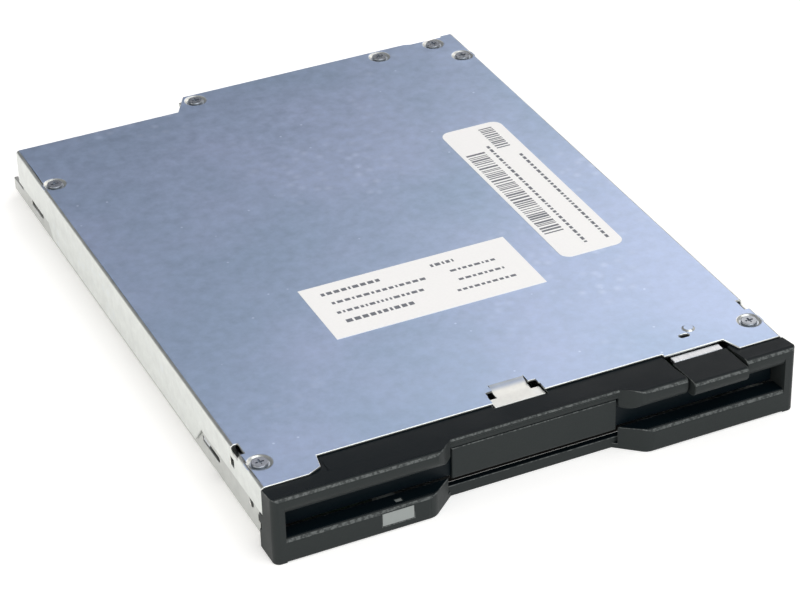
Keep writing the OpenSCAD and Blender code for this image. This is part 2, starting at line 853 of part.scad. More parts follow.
module slot_door() {
    rib_h = 0.25;
    color("darkslategray")
        place() {
            along_x(-door_half, door_half) {
                translate([door_y, slot_floor + 0.1])
                    square([door_t, pivot_z - slot_floor - 0.1]);
                translate([pivot_y, pivot_z])
                    circle(door_t / 2);
            }
            along_x(-(half_w - 8), half_w - 8)
                translate([door_y + door_t - e, slot_floor + 0.1])
                    square([rib_h, 0.8]);
            along_x(-pad_half, pad_half)
                difference() {
                    translate([scoop_d + 0.1, slot_floor - 0.3])
                        square([door_y - scoop_d, pad_top - slot_floor + 0.3]);
                    corner_waste([scoop_d + 0.1, slot_floor - 0.3], 0.5, [1, 1]);
                    corner_waste([scoop_d + 0.1, pad_top], 0.3, [1, -1]);
                }
            for (x = [-30, -10, 10, 30])
                span([x - 0.4, x + 0.4], [door_y + door_t - e, door_y + door_t + rib_h],
                     [slot_floor + 0.1, pivot_z - 1]);
            both()
                bar_x(door_half - e, slot_half + 1, pivot_y, pivot_z, pivot_r);
        }
}

module eject_button() {
    half = button_w / 2;
    back = door_y - run - 0.1;
    top = bezel_top(1) - 0.35;
    color("black")
        place()
            difference() {
                union() {
                    along_x(button_x - half, button_x + half)
                        difference() {
                            polygon([
                                [-button_out, slot_top + 0.5], [back, slot_top + 0.5], [back, tab_z],
                                [6.3, tab_z],
                                [6.3, bezel_top(6.3) - 0.1], [0, top], [-button_out, top]
                            ]);
                            corner_waste([-button_out, slot_top + 0.5], 1.8, [1, 1]);
                            corner_waste([-button_out, top], 0.8, [1, -1]);
                        }
                }
                span([button_x - half + 1 - seat, button_x + half - 1 + seat], [1 - seat, 7],
                     [tab_z - 1, tab_z + slide_t + seat]);
            }
}

// Cam slot in the slide's side flange for a holder pin that rests at y
module cam(y) {
    stadium([y, pin_z], [y + slide_travel, pin_z - holder_drop], 2 * cam_r);
}

module eject_slide() {
    strip_in = 40;
    half = button_w / 2 - 1;
    color("silver")
        place()
            difference() {
                union() {
                    span([-flange_out, flange_out], [slide_y, slide_mid], [slide_z, slide_top]);
                    both() {
                        span([strip_in, flange_out], [slide_mid - 1, holder_end - 1.6],
                             [slide_z, slide_top]);
                        span([spring_x - 1.3, spring_x + 1.3], [spring_y[1], spring_y[1] + lug_t],
                             [slide_z, spring_z + 0.55]);
                    }
                    translate([button_x, 0, 0]) {
                        span([-half, half], [slide_y, slide_y + slide_t], [slide_z, tab_z + slide_t]);
                        span([-half, half], [1, slide_y + slide_t], [tab_z, tab_z + slide_t]);
                        span([-button_w / 2 + 0.5, button_w / 2 - 0.5], [6.4, cover_front - 0.9],
                             [tab_z, bezel_top(6.4) - 0.1]);
                    }
                }
                both()
                    bar_y(spring_y[1] - 1, spring_y[1] + 1, spring_x, spring_z, wire_r + 0.1);
                rise(slide_z - 1, slide_top + e)
                    round_rect([-20, slide_y + 10], [40, slide_mid - slide_y - 18], 4);
                both()
                    rise(slide_z - 1, slide_top + e)
                        round_rect([24, slide_y + 24], [12, slide_mid - slide_y - 32], 3);
            }
}

// Side flanges under the slide, with the cam slots and the tabs that run in the pan's walls
module slide_cams() {
    flange_z = pin_z - holder_drop - cam_r - 0.9;
    color("silver")
        place()
            difference() {
                both() {
                    for (y = pin_y)
                        span([flange_in, flange_out], [y - 2.2, y + slide_travel + 2.2],
                             [flange_z, slide_z]);
                    span([flange_in, flange_out], [guide_y[1] - guide_tab - 0.9, pin_y[0]],
                         [guide_z[0] - 0.6, slide_z]);
                    span([flange_in, wall_out - 0.1], [guide_y[1] - 0.4 - guide_tab, guide_y[1] - 0.4],
                         [guide_z[0] + cam_play, guide_z[1] - cam_play]);
                }
                for (y = pin_y)
                    along_x(-half_w, half_w)
                        cam(y);
            }
}

// Extension spring along Y: straight ends, then curls that swell to the coil's radius
module slide_springs() {
    turns = 10;
    steps = 8 * turns;
    leg = 1.4;
    y0 = spring_y[0] - 1;
    y1 = spring_y[1] + lug_t + 0.5;
    swell = 0.12;
    reach = y1 - y0 - 2 * leg;
    path = concat(
        [[spring_x, y0, spring_z]],
        [for (i = [0 : steps])
            let (t = i / steps, a = 360 * turns * t,
                 r = spring_r * min(1, t / swell, (1 - t) / swell))
            [spring_x + r * cos(a), y0 + leg + reach * t, spring_z + r * sin(a)]],
        [[spring_x, y1, spring_z]]);
    echo(slide_spring_gap = least_gap(path, wire_r));
    color("gainsboro")
        place()
            both()
                wire(path, wire_r, [0, 0, 1]);
}

module disk_holder() {
    window = 9.8;
    sweep = [lever_tip[0] - 3.5, lever_tip[1] - 3];
    color("lightgray")
        place()
            difference() {
                span([-holder_out, holder_out], [holder_y, holder_end], [roof_in, holder_top]);
                span([-window, window], [head_y - stroke - 6, holder_end + 1],
                     [roof_in - 1, holder_top + 1]);
                span([sweep[0], 0], [sweep[1], holder_end + 1], [roof_in - 1, holder_top + 1]);
                rise(roof_in - 1, holder_top + 1)
                    round_rect([-14, holder_y + 14], [28, 34], 5);
                for (s = [-1, 1])
                    rise(roof_in - 1, holder_top + 1)
                        difference() {
                            round_rect([s * 30 - 5, holder_y + 30], [10, 26], 1);
                            translate([s * 30 - 3.4, holder_y + 25])
                                square([6.8, 29]);
                        }
            }
}

// Folded sides of the holder, on which the disk slides in
module holder_rails() {
    flare = holder_in - 4.4;
    color("lightgray")
        place()
            both()
                difference() {
                    along_y(holder_y, holder_end) {
                        translate([holder_in, rail_z])
                            square([holder_t, roof_in - rail_z]);
                        translate([holder_out - rail_w, rail_z])
                            square([rail_w, holder_t]);
                    }
                    for (y = pin_y)
                        bar_x(holder_in - 1, holder_out + 1, y, pin_z, cam_pin_r + seat / 5);
                    rise(rail_z - 1, rail_top + 1)
                        stadium([flare, holder_y - 1], [flare, holder_y + 1.6], 2.4);
                }
}

module holder_pins() {
    color("white")
        place()
            both()
                for (y = pin_y) {
                    bar_x(holder_in, wall_out - 0.1, y, pin_z, cam_pin_r);
                    bar_x(holder_in - 0.25, holder_in, y, pin_z, cam_pin_r + 0.5);
                }
}

module shutter_lever() {
    tip = lever_tip;
    tail = lever_post + [-5.5, -3];
    color("gainsboro")
        place()
            difference() {
                union() {
                    rise(lever_z, lever_z + lever_t) {
                        strip(lever_post, tip, 3);
                        strip(lever_post, tail, 2.4);
                        translate(tail)
                            circle(1.5);
                    }
                    post(lever_post, 2.6, lever_z - 0.4, lever_z + lever_t + 0.2);
                    post(tip, finger_r + 0.9, lever_z - 0.3, lever_z + lever_t + 0.1);
                    post(tip, finger_r, load_z + holder_drop + 0.6, lever_z);
                }
                post(lever_post, post_r + turn, lever_z - 2, lever_z + 2);
                rise(lever_z - 1, lever_z + 2)
                    stadium(lever_post + 0.35 * (tip - lever_post),
                            lever_post + 0.7 * (tip - lever_post), 1.4);
            }
}

module lever_pivot() {
    color("silver")
        place() {
            post(lever_post, 3, floor_top, floor_top + 0.6);
            post(lever_post, post_r, floor_top, lever_z + lever_t + 1);
            post(lever_post, post_r + 0.7, lever_z + lever_t + 0.2 + run / 2, lever_z + lever_t + 0.6);
        }
}

// Torsion spring round the lever's post, with one leg on the floor and one on the lever's tail
module lever_spring() {
    turns = 5;
    steps = 8 * turns;
    r = post_r + 0.6;
    z0 = floor_top + 2.6;
    z1 = lever_z - 0.4 - 0.5;
    c = lever_post;
    path = concat(
        [[c[0] + r, c[1] - 4.5, z0]],
        [for (i = [0 : steps])
            let (a = 360 * turns * i / steps)
            [c[0] + r * cos(a), c[1] + r * sin(a), z0 + (z1 - z0) * i / steps]],
        [[c[0] + r - 0.2, c[1] + 3, z1], [c[0] + r - 0.4, c[1] + 4.5, z1]]);
    echo(lever_spring_gap = least_gap(path, 0.2));
    color("gainsboro")
        place()
            wire(path, 0.2, [0, 0, 1]);
}

module motor_base() {
    z = floor_z - base_t;
    color("darkolivegreen")
        place()
            difference() {
                rise(z, floor_z)
                    difference() {
                        round_rect([-base_w / 2, spindle_y - base_front], [base_w, base_l], 3);
                        translate([-base_w / 2, spindle_y - base_front + base_l])
                            rotate(45)
                                square(base_cut, center = true);
                    }
                post([0, spindle_y], sleeve_r + seat / 5, z - 1, floor_z + 1);
                for (p = motor_screw_at)
                    post(p, thread_r + seat, z - 1, floor_z + 1);
            }
}

module motor_bearing() {
    z = floor_z - base_t;
    color("peru")
        place()
            translate([0, spindle_y, 0])
                difference() {
                    union() {
                        post([0, 0], sleeve_r, z, rotor_z - run);
                        post([0, 0], sleeve_r + 1.2, floor_z, core_z[0]);
                    }
                    post([0, 0], shaft_r + turn / 2, z + 0.2, rotor_z + 1);
                }
}

module stator_core() {
    color("slategray")
        place()
            translate([0, spindle_y, 0])
                rise(core_z[0], core_z[1]) {
                    difference() {
                        circle(sleeve_r + 2.2);
                        circle(sleeve_r + seat / 5);
                    }
                    for (i = [0 : poles - 1])
                        rotate(360 * i / poles)
                            translate([sleeve_r + 1.9, -0.6])
                                square([tooth_r - sleeve_r - 1.9 - 0.2, 1.2]);
                    for (i = [0 : poles - 1])
                        rotate(360 * i / poles)
                            intersection() {
                                difference() {
                                    circle(tooth_r);
                                    circle(tooth_r - 0.9);
                                }
                                translate([0, -2.2])
                                    square([tooth_r + 1, 4.4]);
                            }
                }
}

module stator_coils() {
    r0 = sleeve_r + 3;
    r1 = tooth_r - 1.3;
    turn_w = 0.5;
    color("chocolate")
        place()
            translate([0, spindle_y, 0])
                for (i = [0 : poles - 1])
                    rotate(360 * i / poles)
                        difference() {
                            span([r0, r1], [-0.6 - turn_w, 0.6 + turn_w],
                                 [core_z[0] - 0.25, core_z[1] + 0.25]);
                            span([r0 - 1, r1 + 1], [-0.6 - e, 0.6 + e], [core_z[0] - e, core_z[1] + e]);
                        }
}

module rotor_cup() {
    skirt = 0.6;
    color("silver")
        place()
            translate([0, spindle_y, 0])
                difference() {
                    rotate_extrude()
                        polygon([
                            [spindle_r + seat / 5, rotor_z], [rotor_r - skirt, rotor_z],
                            [rotor_r - skirt, core_z[0]],
                            [rotor_r, core_z[0]], [rotor_r, rotor_top - 0.3], [rotor_r - 0.3, rotor_top],
                            [spindle_r + seat / 5, rotor_top]
                        ]);
                    post([0, drive_at], drive_r + turn, rotor_z - 1, rotor_top + 1);
                }
}

module rotor_magnet() {
    outer = rotor_r - 0.6 - seat / 5;
    color("dimgray")
        place()
            translate([0, spindle_y, 0])
                difference() {
                    post([0, 0], outer, core_z[0], rotor_z - seat);
                    post([0, 0], tooth_r + run, core_z[0] - 1, rotor_z + 1);
                }
}

module spindle_hub() {
    color("whitesmoke")
        place()
            translate([0, spindle_y, 0])
                difference() {
                    rotate_extrude()
                        polygon([
                            [spindle_r + seat / 5, rotor_top], [hub_r, rotor_top], [hub_r, hub_top - 0.2],
                            [hub_r - 0.2, hub_top], [spindle_r + seat / 5, hub_top]
                        ]);
                    post([0, drive_at], drive_r + turn, rotor_top - 1, hub_top + 1);
                }
}

module spindle_shaft() {
    tip = hub_top + 1.2;
    foot = floor_z - base_t + 0.2 + seat;
    color("gainsboro")
        place()
            translate([0, spindle_y, 0])
                rotate_extrude()
                    polygon([
                        [0, foot], [shaft_r, foot], [shaft_r, rotor_z], [spindle_r, rotor_z],
                        [spindle_r, tip - 0.4], [spindle_r - 0.4, tip], [0, tip]
                    ]);
}

module drive_pin() {
    color("silver")
        place()
            translate([0, spindle_y + drive_at, 0])
                rotate_extrude()
                    polygon([
                        [0, rotor_top - 0.15], [drive_r, rotor_top - 0.15], [drive_r, hub_top + 0.4],
                        [drive_r - 0.3, hub_top + 0.7], [0, hub_top + 0.7]
                    ]);
}

module head_carriage() {
    body = 9;
    boss = rod_x + rod_r + 0.7;
    boss_z = [rod_z - rod_r - 0.5, rod_z + rod_r + 0.7];
    ear = [5.2, 7];
    flag_y = tower_end + 2.8;
    color("darkslateblue")
        place()
            difference() {
                union() {
                    span([-6.5, 6.5], [head_y - 3.6, tower_y + 1], arm_plate_z);
                    span([-body, body], [tower_y, tower_end], [arm_plate_z[0], tower_top]);
                    span([-boss, boss], [tower_y, tower_end], boss_z);
                    both()
                        span([ear[0], ear[1]], [hinge_y - 1.6, hinge_y + 1.6],
                             [tower_top - e, hinge_z + 1.3]);
                    span([body - e, screw_x - screw_r - run], [tower_y + 1.6, tower_y + 1.6 + follower_l],
                         [screw_z - 1, screw_z + 1]);
                    span([-1.2, 1.2], [tower_end - e, flag_y], [3.9, 4.3]);
                    span([ribbon_x[0], -body + e], [tower_y + 0.2, tower_y + 2.6],
                         [board_top + 2 * loop_r + 0.1 + ribbon_t, board_top + 2 * loop_r + 1.1]);
                    both()
                        along_x(3.4, 4.4)
                            polygon([[tower_y + e, arm_plate_z[1] - e], [tower_y + e, tower_top - 1.5],
                                     [tower_y - 2, arm_plate_z[1] - e]]);
                }
                bar_y(tower_y - 1, tower_end + 1, rod_x, rod_z, rod_r + turn / 2);
                bar_y(tower_y - 1, tower_end + 1, -rod_x, rod_z, rod_r + turn);
                span([-boss - 1, -rod_x], [tower_y - 1, tower_end + 1],
                     [rod_z - rod_r - turn, rod_z + rod_r + turn]);
                bar_x(-ear[1] - 1, ear[1] + 1, hinge_y, hinge_z, hinge_r + seat / 5);
                rise(arm_plate_z[0] - 1, arm_plate_z[1] + 1)
                    round_rect([-4, head_y + 5], [8, 10], 1.5);
                span([-body + 1.4, body - 1.4], [tower_y + 1.4, tower_end - 1.4],
                     [arm_plate_z[1] + 0.6, tower_top - 1.2]);
            }
}

// Head slider from its mounting plane to its shoulder, with a round face that meets the disk
module head(mount, shoulder, face) {
    span([-head_half, head_half], [head_y - head_l / 2, head_y + head_l / 2],
         [min(mount, shoulder), max(mount, shoulder)]);
    overlap = face < shoulder ? e : -e;
    post([0, head_y], 1.4, min(shoulder + overlap, face), max(shoulder + overlap, face));
}

module lower_head() {
    color("black")
        place()
            head(arm_plate_z[1], media_z - 0.45, media_z);
}

module upper_arm() {
    tip_y = head_y - head_l / 2 - 0.8;
    color("darkslateblue")
        place()
            difference() {
                union() {
                    rise(arm_z + 0.2, arm_z + 0.2 + arm_t)
                        polygon([
                            [-4.9, hinge_y], [-4.9, hinge_y - 3.4], [-7.5, hinge_y - 7], [-3.6, tip_y],
                            [3.6, tip_y], [7.5, hinge_y - 7], [4.9, hinge_y - 3.4], [4.9, hinge_y]
                        ]);
                    bar_x(-4.9, 4.9, hinge_y, hinge_z, hinge_r + 0.6);
                    both()
                        rise(arm_z + 0.2 + arm_t - e, arm_z + 0.6 + arm_t)
                            strip([3.6, hinge_y - 6], [1.9, tip_y + 1.2], 0.8);
                }
                bar_x(-6, 6, hinge_y, hinge_z, hinge_r + turn);
                rise(arm_z - 1, arm_z + 3)
                    round_rect([-2.2, head_y + 6], [4.4, 9], 1.2);
            }
}

module arm_pin() {
    color("silver")
        place()
            bar_x(-7.2, 7.2, hinge_y, hinge_z, hinge_r);
}

module upper_head() {
    color("black")
        place()
            head(arm_z + 0.2, head_bottom + 0.45, head_bottom);
}

module guide_rods() {
    color("gainsboro")
        place()
            both()
                bar_y(rod_y[0], rod_y[1], rod_x, rod_z, rod_r);
}

module rod_supports() {
    color("gray")
        place()
            both()
                for (y = [rod_y[0], rod_y[1] - support_l])
                    difference() {
                        span([rod_x - 2, rod_x + 2], [y, y + support_l], [floor_top, rod_z + rod_r + 0.4]);
                        bar_y(y - 1, y + support_l + 1, rod_x, rod_z, rod_r + seat / 5);
                    }
}

module lead_screw() {
    color("gold")
        place() {
            bar_y(ear_y + plate_t + run, plate_y - run, screw_x, screw_z, screw_r);
            bar_y(ear_y, ear_y + plate_t + 1, screw_x, screw_z, 0.6);
            bar_y(plate_y - 1, plate_y + plate_t + 1, screw_x, screw_z, 0.75);
        }
}

module stepper_motor() {
    y0 = plate_y + plate_t;
    y1 = rear_in - 0.4;
    color("gainsboro")
        place()
            difference() {
                union() {
                    translate([screw_x, y0, screw_z])
                        rotate([-90, 0, 0])
                            rotate_extrude()
                                polygon([
                                    [0, 0], [stepper_r - 0.4, 0], [stepper_r, 0.4],
                                    [stepper_r, (y1 - y0) / 2 - 0.15],
                                    [stepper_r - 0.3, (y1 - y0) / 2], [stepper_r, (y1 - y0) / 2 + 0.15],
                                    [stepper_r, y1 - y0 - 0.4], [stepper_r - 0.4, y1 - y0], [0, y1 - y0]
                                ]);
                    span([screw_x - stepper_r - 1.6, screw_x], [y0 + 1.2, y1 - 1.2],
                         [screw_z - 1.8, screw_z + 1.8]);
                }
                bar_y(y0 - 1, y0 + 1.4, screw_x, screw_z, 0.75 + turn);
            }
}

module stepper_bracket() {
    half = stepper_r + 0.6;
    color("silver")
        place()
            difference() {
                union() {
                    span([screw_x - half, screw_x + half], [plate_y, plate_y + plate_t],
                         [floor_top, screw_z + stepper_r]);
                    span([screw_x - 2.6, screw_x + half], [ear_y, plate_y + e],
                         [floor_top, floor_top + plate_t]);
                    span([screw_x - 2.6, screw_x + 2.6], [ear_y, ear_y + plate_t], [floor_top, screw_z + 2]);
                }
                bar_y(ear_y - 1, ear_y + 2, screw_x, screw_z, 0.6 + turn);
                bar_y(plate_y - 1, plate_y + 2, screw_x, screw_z, 0.75 + turn);
                for (p = bracket_screw_at)
                    post(p, thread_r + seat, floor_top - 1, floor_top + 2);
            }
}

module track_sensor() {
    y0 = tower_end + 1.4;
    color("black")
        place()
            difference() {
                span([-3, 3], [y0, y0 + 3.2], [board_top, 6.2]);
                span([-4, 4], [y0 - 1, y0 + 2.2], [3.4, 4.8]);
            }
}

// Flat ribbon that rolls in a loop between the board and the carriage
module head_ribbon() {
    z0 = board_top + 0.05;
    mid = z0 + ribbon_t / 2 + loop_r;
    color("orange")
        place()
            along_x(ribbon_x[0], ribbon_x[1]) {
                translate([disk_back + 2, z0])
                    square([loop_y - disk_back - 2, ribbon_t]);
                translate([tower_y + 0.4, mid + loop_r - ribbon_t / 2])
                    square([loop_y - tower_y - 0.4, ribbon_t]);
                intersection() {
                    difference() {
                        translate([loop_y, mid])
                            circle(loop_r + ribbon_t / 2);
                        translate([loop_y, mid])
                            circle(loop_r - ribbon_t / 2);
                    }
                    translate([loop_y - e, mid - 3])
                        square([4, 6]);
                }
            }
}

module main_board() {
    y0 = disk_back + 2;
    y1 = case_d - 1.6;
    lane = tower_end + 0.6;
    color("seagreen")
        place()
            difference() {
                rise(board_z, board_top) {
                    translate([-(half_w - 2.1), y0])
                        square([half_w - 2.1 + board_x, y1 - y0]);
                    translate([board_x - 1, lane])
                        square([8 - board_x + 1, y1 - lane]);
                    translate([strip_x[0], pan_y + 3])
                        square([strip_x[1] - strip_x[0], y0 - pan_y - 2]);
                    translate([strip_x[0], pan_y + 1.4])
                        square([light_x + 2.4 - strip_x[0], 10]);
                }
                span([-rod_x - 2.3, -rod_x + 2.3], [lane - 1, rod_y[1] + 0.3], [0, 9]);
                post(lever_post, 3.3, 0, 9);
                for (i = [0 : 2])
                    post(board_screw_at[i], thread_r + 0.2, 0, 9);
            }
}

module board_chips() {
    color("black")
        place()
            for (c = chip_at)
                translate([c[0] - c[2] / 2, c[1] - c[2] / 2, board_z - chip_h])
                    cube([c[2], c[2], chip_h]);
}

module sensor_board() {
    p = right_switch;
    color("seagreen")
        place()
            difference() {
                rise(board_z, board_top)
                    round_rect([p[0] - 5, p[1] - 4.6], [10, 10.6], 1);
                post(board_screw_at[3], thread_r + 0.2, 0, 9);
            }
}

module switch_bodies() {
    s = switch_s / 2;
    color("black")
        place()
            for (p = [left_switch, in_switch, right_switch])
                difference() {
                    span([p[0] - s, p[0] + s], [p[1] - s, p[1] + s], [board_top, board_top + switch_h]);
                    post(p, plunger_r + turn, board_top, board_top + 2);
                }
}

// Plunger of a switch, which a loaded disk pushes down
module plunger(p) {
    z0 = board_top + switch_h - 0.1;
    translate([p[0], p[1], 0])
        rotate_extrude()
            polygon([
                [0, z0], [plunger_r, z0], [plunger_r, plunger_top - 0.3],
                [plunger_r - 0.3, plunger_top], [0, plunger_top]
            ]);
}

module protect_plunger() {
    color("white")
        place()
            plunger(left_switch);
}

module present_plunger() {
    color("white")
        place()
            plunger(in_switch);
}

module density_plunger() {
    color("white")
        place()
            plunger(right_switch);
}

module cable_connector() {
    color("ivory")
        place()
            difference() {
                span(plug_x, plug_y, [board_top, board_top + plug_h]);
                span([plug_x[0] + 1, plug_x[1] - 1], [plug_y[0] + 1.5, plug_y[1] + 1],
                     [board_top + 0.7, board_top + 1.7]);
            }
}

module connector_contacts() {
    pitch = (plug_x[1] - plug_x[0] - 4) / (contacts - 1);
    color("gold")
        place()
            for (i = [0 : contacts - 1])
                translate([plug_x[0] + 2 + i * pitch, 0, 0])
                    span([-0.15, 0.15], [plug_y[0] - 0.9, plug_y[0]], [board_top, board_top + 0.2]);
}

module connector_latch() {
    color("saddlebrown")
        place() {
            span([plug_x[0] - 0.4, plug_x[1] + 0.4], [plug_y[1] + seat, plug_y[1] + latch_t],
                 [board_top + 0.3, board_top + plug_h - 0.1]);
            span([plug_x[0] + 1.3, plug_x[1] - 1.3], [plug_y[0] + 3, plug_y[1] + latch_t / 2],
                 [board_top + 1.1, board_top + 1.4]);
        }
}

module wide_label_sheet() {
    color("white")
        place()
            rise(case_h, case_h + 0.08)
                translate([0.3 - wide_w / 2, spindle_y - wide_near])
                    square([wide_w, wide_l]);
}

module narrow_label_sheet() {
    color("white")
        place()
            rise(case_h, case_h + 0.08)
                round_rect([narrow_x, spindle_y - narrow_near], [narrow_w, narrow_l], narrow_r);
}

module cover_screws() {
    color("gainsboro")
        place()
            for (p = cover_screw_at)
                screw(p, case_h - dimple_d, wall_top - pan_t - 0.4);
}

module motor_screws() {
    color("gainsboro")
        place()
            for (p = motor_screw_at)
                screw(p, floor_top, floor_z - base_t + 0.1);
}

module bracket_screws() {
    color("gainsboro")
        place()
            for (p = bracket_screw_at)
                screw(p, floor_top + plate_t, floor_z + 0.1);
}

module board_screws() {
    color("gainsboro")
        place()
            for (p = board_screw_at)
                screw(p, board_top, floor_z + 0.1);
}

top_cover();
chassis();
front_bezel();
light_guide();
front_light();
slot_door();
eject_button();
eject_slide();
slide_cams();
slide_springs();
disk_holder();
holder_rails();
holder_pins();
shutter_lever();
lever_pivot();
lever_spring();
motor_base();
motor_bearing();
stator_core();
stator_coils();
rotor_cup();
rotor_magnet();
spindle_hub();
spindle_shaft();
drive_pin();
head_carriage();
lower_head();
upper_arm();
arm_pin();
upper_head();
guide_rods();
rod_supports();
lead_screw();
stepper_motor();
stepper_bracket();
track_sensor();
head_ribbon();
main_board();
board_chips();
sensor_board();
switch_bodies();
protect_plunger();
present_plunger();
density_plunger();
cable_connector();
connector_contacts();
connector_latch();
wide_label_sheet();
narrow_label_sheet();
cover_screws();
motor_screws();
bracket_screws();
board_screws();
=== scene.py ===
"""Looks of a slim floppy disk drive: finishes, edge roundings, springs, thread, labels and a plain studio."""
import math

import bmesh
import bpy
import numpy as np
from mathutils import Matrix, Vector


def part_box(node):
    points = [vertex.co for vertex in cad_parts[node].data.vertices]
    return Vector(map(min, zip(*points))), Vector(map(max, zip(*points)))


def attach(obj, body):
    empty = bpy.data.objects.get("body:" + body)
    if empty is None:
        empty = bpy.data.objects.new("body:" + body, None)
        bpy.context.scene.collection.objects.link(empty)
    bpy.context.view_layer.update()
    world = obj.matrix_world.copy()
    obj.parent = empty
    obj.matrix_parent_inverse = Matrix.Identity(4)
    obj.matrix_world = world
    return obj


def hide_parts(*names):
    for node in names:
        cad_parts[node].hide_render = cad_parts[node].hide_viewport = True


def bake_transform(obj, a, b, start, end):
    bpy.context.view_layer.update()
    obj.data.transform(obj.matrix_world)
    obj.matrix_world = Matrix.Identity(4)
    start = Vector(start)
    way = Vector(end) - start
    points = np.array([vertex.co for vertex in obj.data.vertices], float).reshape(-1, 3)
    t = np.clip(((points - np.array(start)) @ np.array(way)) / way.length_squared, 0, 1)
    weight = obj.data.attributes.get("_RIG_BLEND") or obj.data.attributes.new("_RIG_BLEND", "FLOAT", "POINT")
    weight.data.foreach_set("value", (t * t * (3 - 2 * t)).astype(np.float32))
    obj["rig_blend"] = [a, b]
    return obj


bl_info = {
    "name": "Slim Floppy Drive Looks",
    "version": (1, 0, 0),
    "blender": (4, 5, 0),
    "location": "View3D > Sidebar > Drive",
    "description": "Finishes a slim floppy disk drive and sets up its studio",
    "category": "Object",
}

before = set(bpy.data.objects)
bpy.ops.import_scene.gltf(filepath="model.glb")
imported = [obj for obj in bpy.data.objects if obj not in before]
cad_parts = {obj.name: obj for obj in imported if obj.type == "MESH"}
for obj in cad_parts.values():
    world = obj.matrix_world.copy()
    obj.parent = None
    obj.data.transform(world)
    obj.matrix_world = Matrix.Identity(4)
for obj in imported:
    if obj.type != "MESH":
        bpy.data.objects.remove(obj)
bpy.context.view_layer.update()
MM = 0.001
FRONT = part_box("front_bezel")[0].y
# roundings of screws and small mouldings, and of pressed, turned and connector pieces, in metres
SMALL_EDGE = 0.00012
FINE_EDGE = 0.0001
# an edge is sharp where its faces turn outwards by more than this
SHARP = math.radians(32)
# sockets of a Mix node of colours: the colour at factor 0, the colour at factor 1, and the result
COLOUR_0 = 6
COLOUR_1 = 7
MIXED = 2


def linear(code):
    """sRGB hex to linear RGBA: c / 12.92 up to 0.04045, and ((c + 0.055) / 1.055) ** 2.4 above."""
    srgb = np.array([int(code[i:i + 2], 16) for i in (1, 3, 5)]) / 255
    rgb = np.where(srgb <= 0.04045, srgb / 12.92, ((srgb + 0.055) / 1.055) ** 2.4)
    return (*rgb.tolist(), 1.0)


def toned(colour, gain, lift=0.0):
    """A lighter or darker opaque colour: gain times each channel plus lift, up to 1."""
    return tuple(min(1.0, c * gain + lift) for c in colour[:3]) + (1.0,)


def spot(x, y, z):
    """Millimetres, with y counted back from the bezel's front plane, to metres in the model's frame."""
    return Vector((x * MM, FRONT + y * MM, z * MM))


class DriveSizes(bpy.types.PropertyGroup):
    """Sizes of the finishing details."""
    bezel_edge: bpy.props.FloatProperty(
        name="Bezel edge", description="Rounding of the moulding's sharp edges", default=0.00014,
        min=0.00002, max=0.0005, unit="LENGTH", precision=5)
    sheet_edge: bpy.props.FloatProperty(
        name="Sheet edge", description="Rounding of the cut edges of sheet metal", default=0.00011,
        min=0.00001, max=0.0002, unit="LENGTH", precision=5)
    spring_turns: bpy.props.IntProperty(
        name="Spring turns", description="Turns of each slide spring", default=30, min=10, max=40)
    wire: bpy.props.FloatProperty(
        name="Spring wire", description="Wire radius of the slide springs", default=0.00014,
        min=0.00005, max=0.0002, unit="LENGTH", precision=5)
    thread_pitch: bpy.props.FloatProperty(
        name="Thread pitch", description="Advance of the lead screw in one turn", default=0.003,
        min=0.001, max=0.005, unit="LENGTH", precision=4)


class DriveColours(bpy.types.PropertyGroup):
    """Colours of the main finishes."""
    cover: bpy.props.FloatVectorProperty(
        name="Cover", description="Blue-passivated zinc of the top cover", subtype="COLOR", size=4,
        min=0, max=1, default=linear("#9db1cb"))
    cover_tint: bpy.props.FloatVectorProperty(
        name="Cover tint", description="Violet cast where the passivation is thicker", subtype="COLOR",
        size=4, min=0, max=1, default=linear("#a9b9d6"))
    # painted reflection: this pale colour stands for the lamp and floor light that the cover's folded sides,
    # pressed tab and front edge reflect
    painted_side_light: bpy.props.FloatVectorProperty(
        name="Folded sides", description="Paler zinc of the cover's folded sides", subtype="COLOR", size=4,
        min=0, max=1, default=linear("#d6d9d6"))
    pan: bpy.props.FloatVectorProperty(
        name="Pan", description="Clear zinc of the chassis", subtype="COLOR", size=4,
        min=0, max=1, default=linear("#bfc1be"))
    bezel: bpy.props.FloatVectorProperty(
        name="Bezel", description="Charcoal moulding of the bezel, door and button", subtype="COLOR", size=4,
        min=0, max=1, default=linear("#242828"))
    label: bpy.props.FloatVectorProperty(
        name="Label", description="Label paper", subtype="COLOR", size=4,
        min=0, max=1, default=linear("#fafaf9"))
    ink: bpy.props.FloatVectorProperty(
        name="Ink", description="Print on the labels", subtype="COLOR", size=4,
        min=0, max=1, default=linear("#565a61"))
    lens: bpy.props.FloatVectorProperty(
        name="Light guide", description="Frosted light guide", subtype="COLOR", size=4,
        min=0, max=1, default=linear("#979d9b"))


class StudioSettings(bpy.types.PropertyGroup):
    """Camera and light of the plain studio."""
    azimuth: bpy.props.FloatProperty(
        name="Azimuth", description="Camera's turn from straight in front, positive to the right",
        subtype="ANGLE", default=math.radians(-24.378))
    elevation: bpy.props.FloatProperty(
        name="Elevation", description="Camera's height angle", default=math.radians(32.578), subtype="ANGLE")
    roll: bpy.props.FloatProperty(
        name="Roll", description="Camera's turn about its own view line", default=-0.027, subtype="ANGLE")
    distance: bpy.props.FloatProperty(
        name="Distance", description="Camera's distance from the drive", default=0.4953, unit="LENGTH")
    lens: bpy.props.FloatProperty(
        name="Lens", description="Focal length on a 36 mm wide sensor", default=122.77, unit="CAMERA")
    light: bpy.props.FloatProperty(
        name="Light", description="Strength of all the lamps together", default=1.0, min=0.1, max=4)
    floor: bpy.props.FloatVectorProperty(
        name="Floor", description="Colour of the floor", subtype="COLOR", size=4, min=0, max=1,
        default=linear("#f8f8f7"))


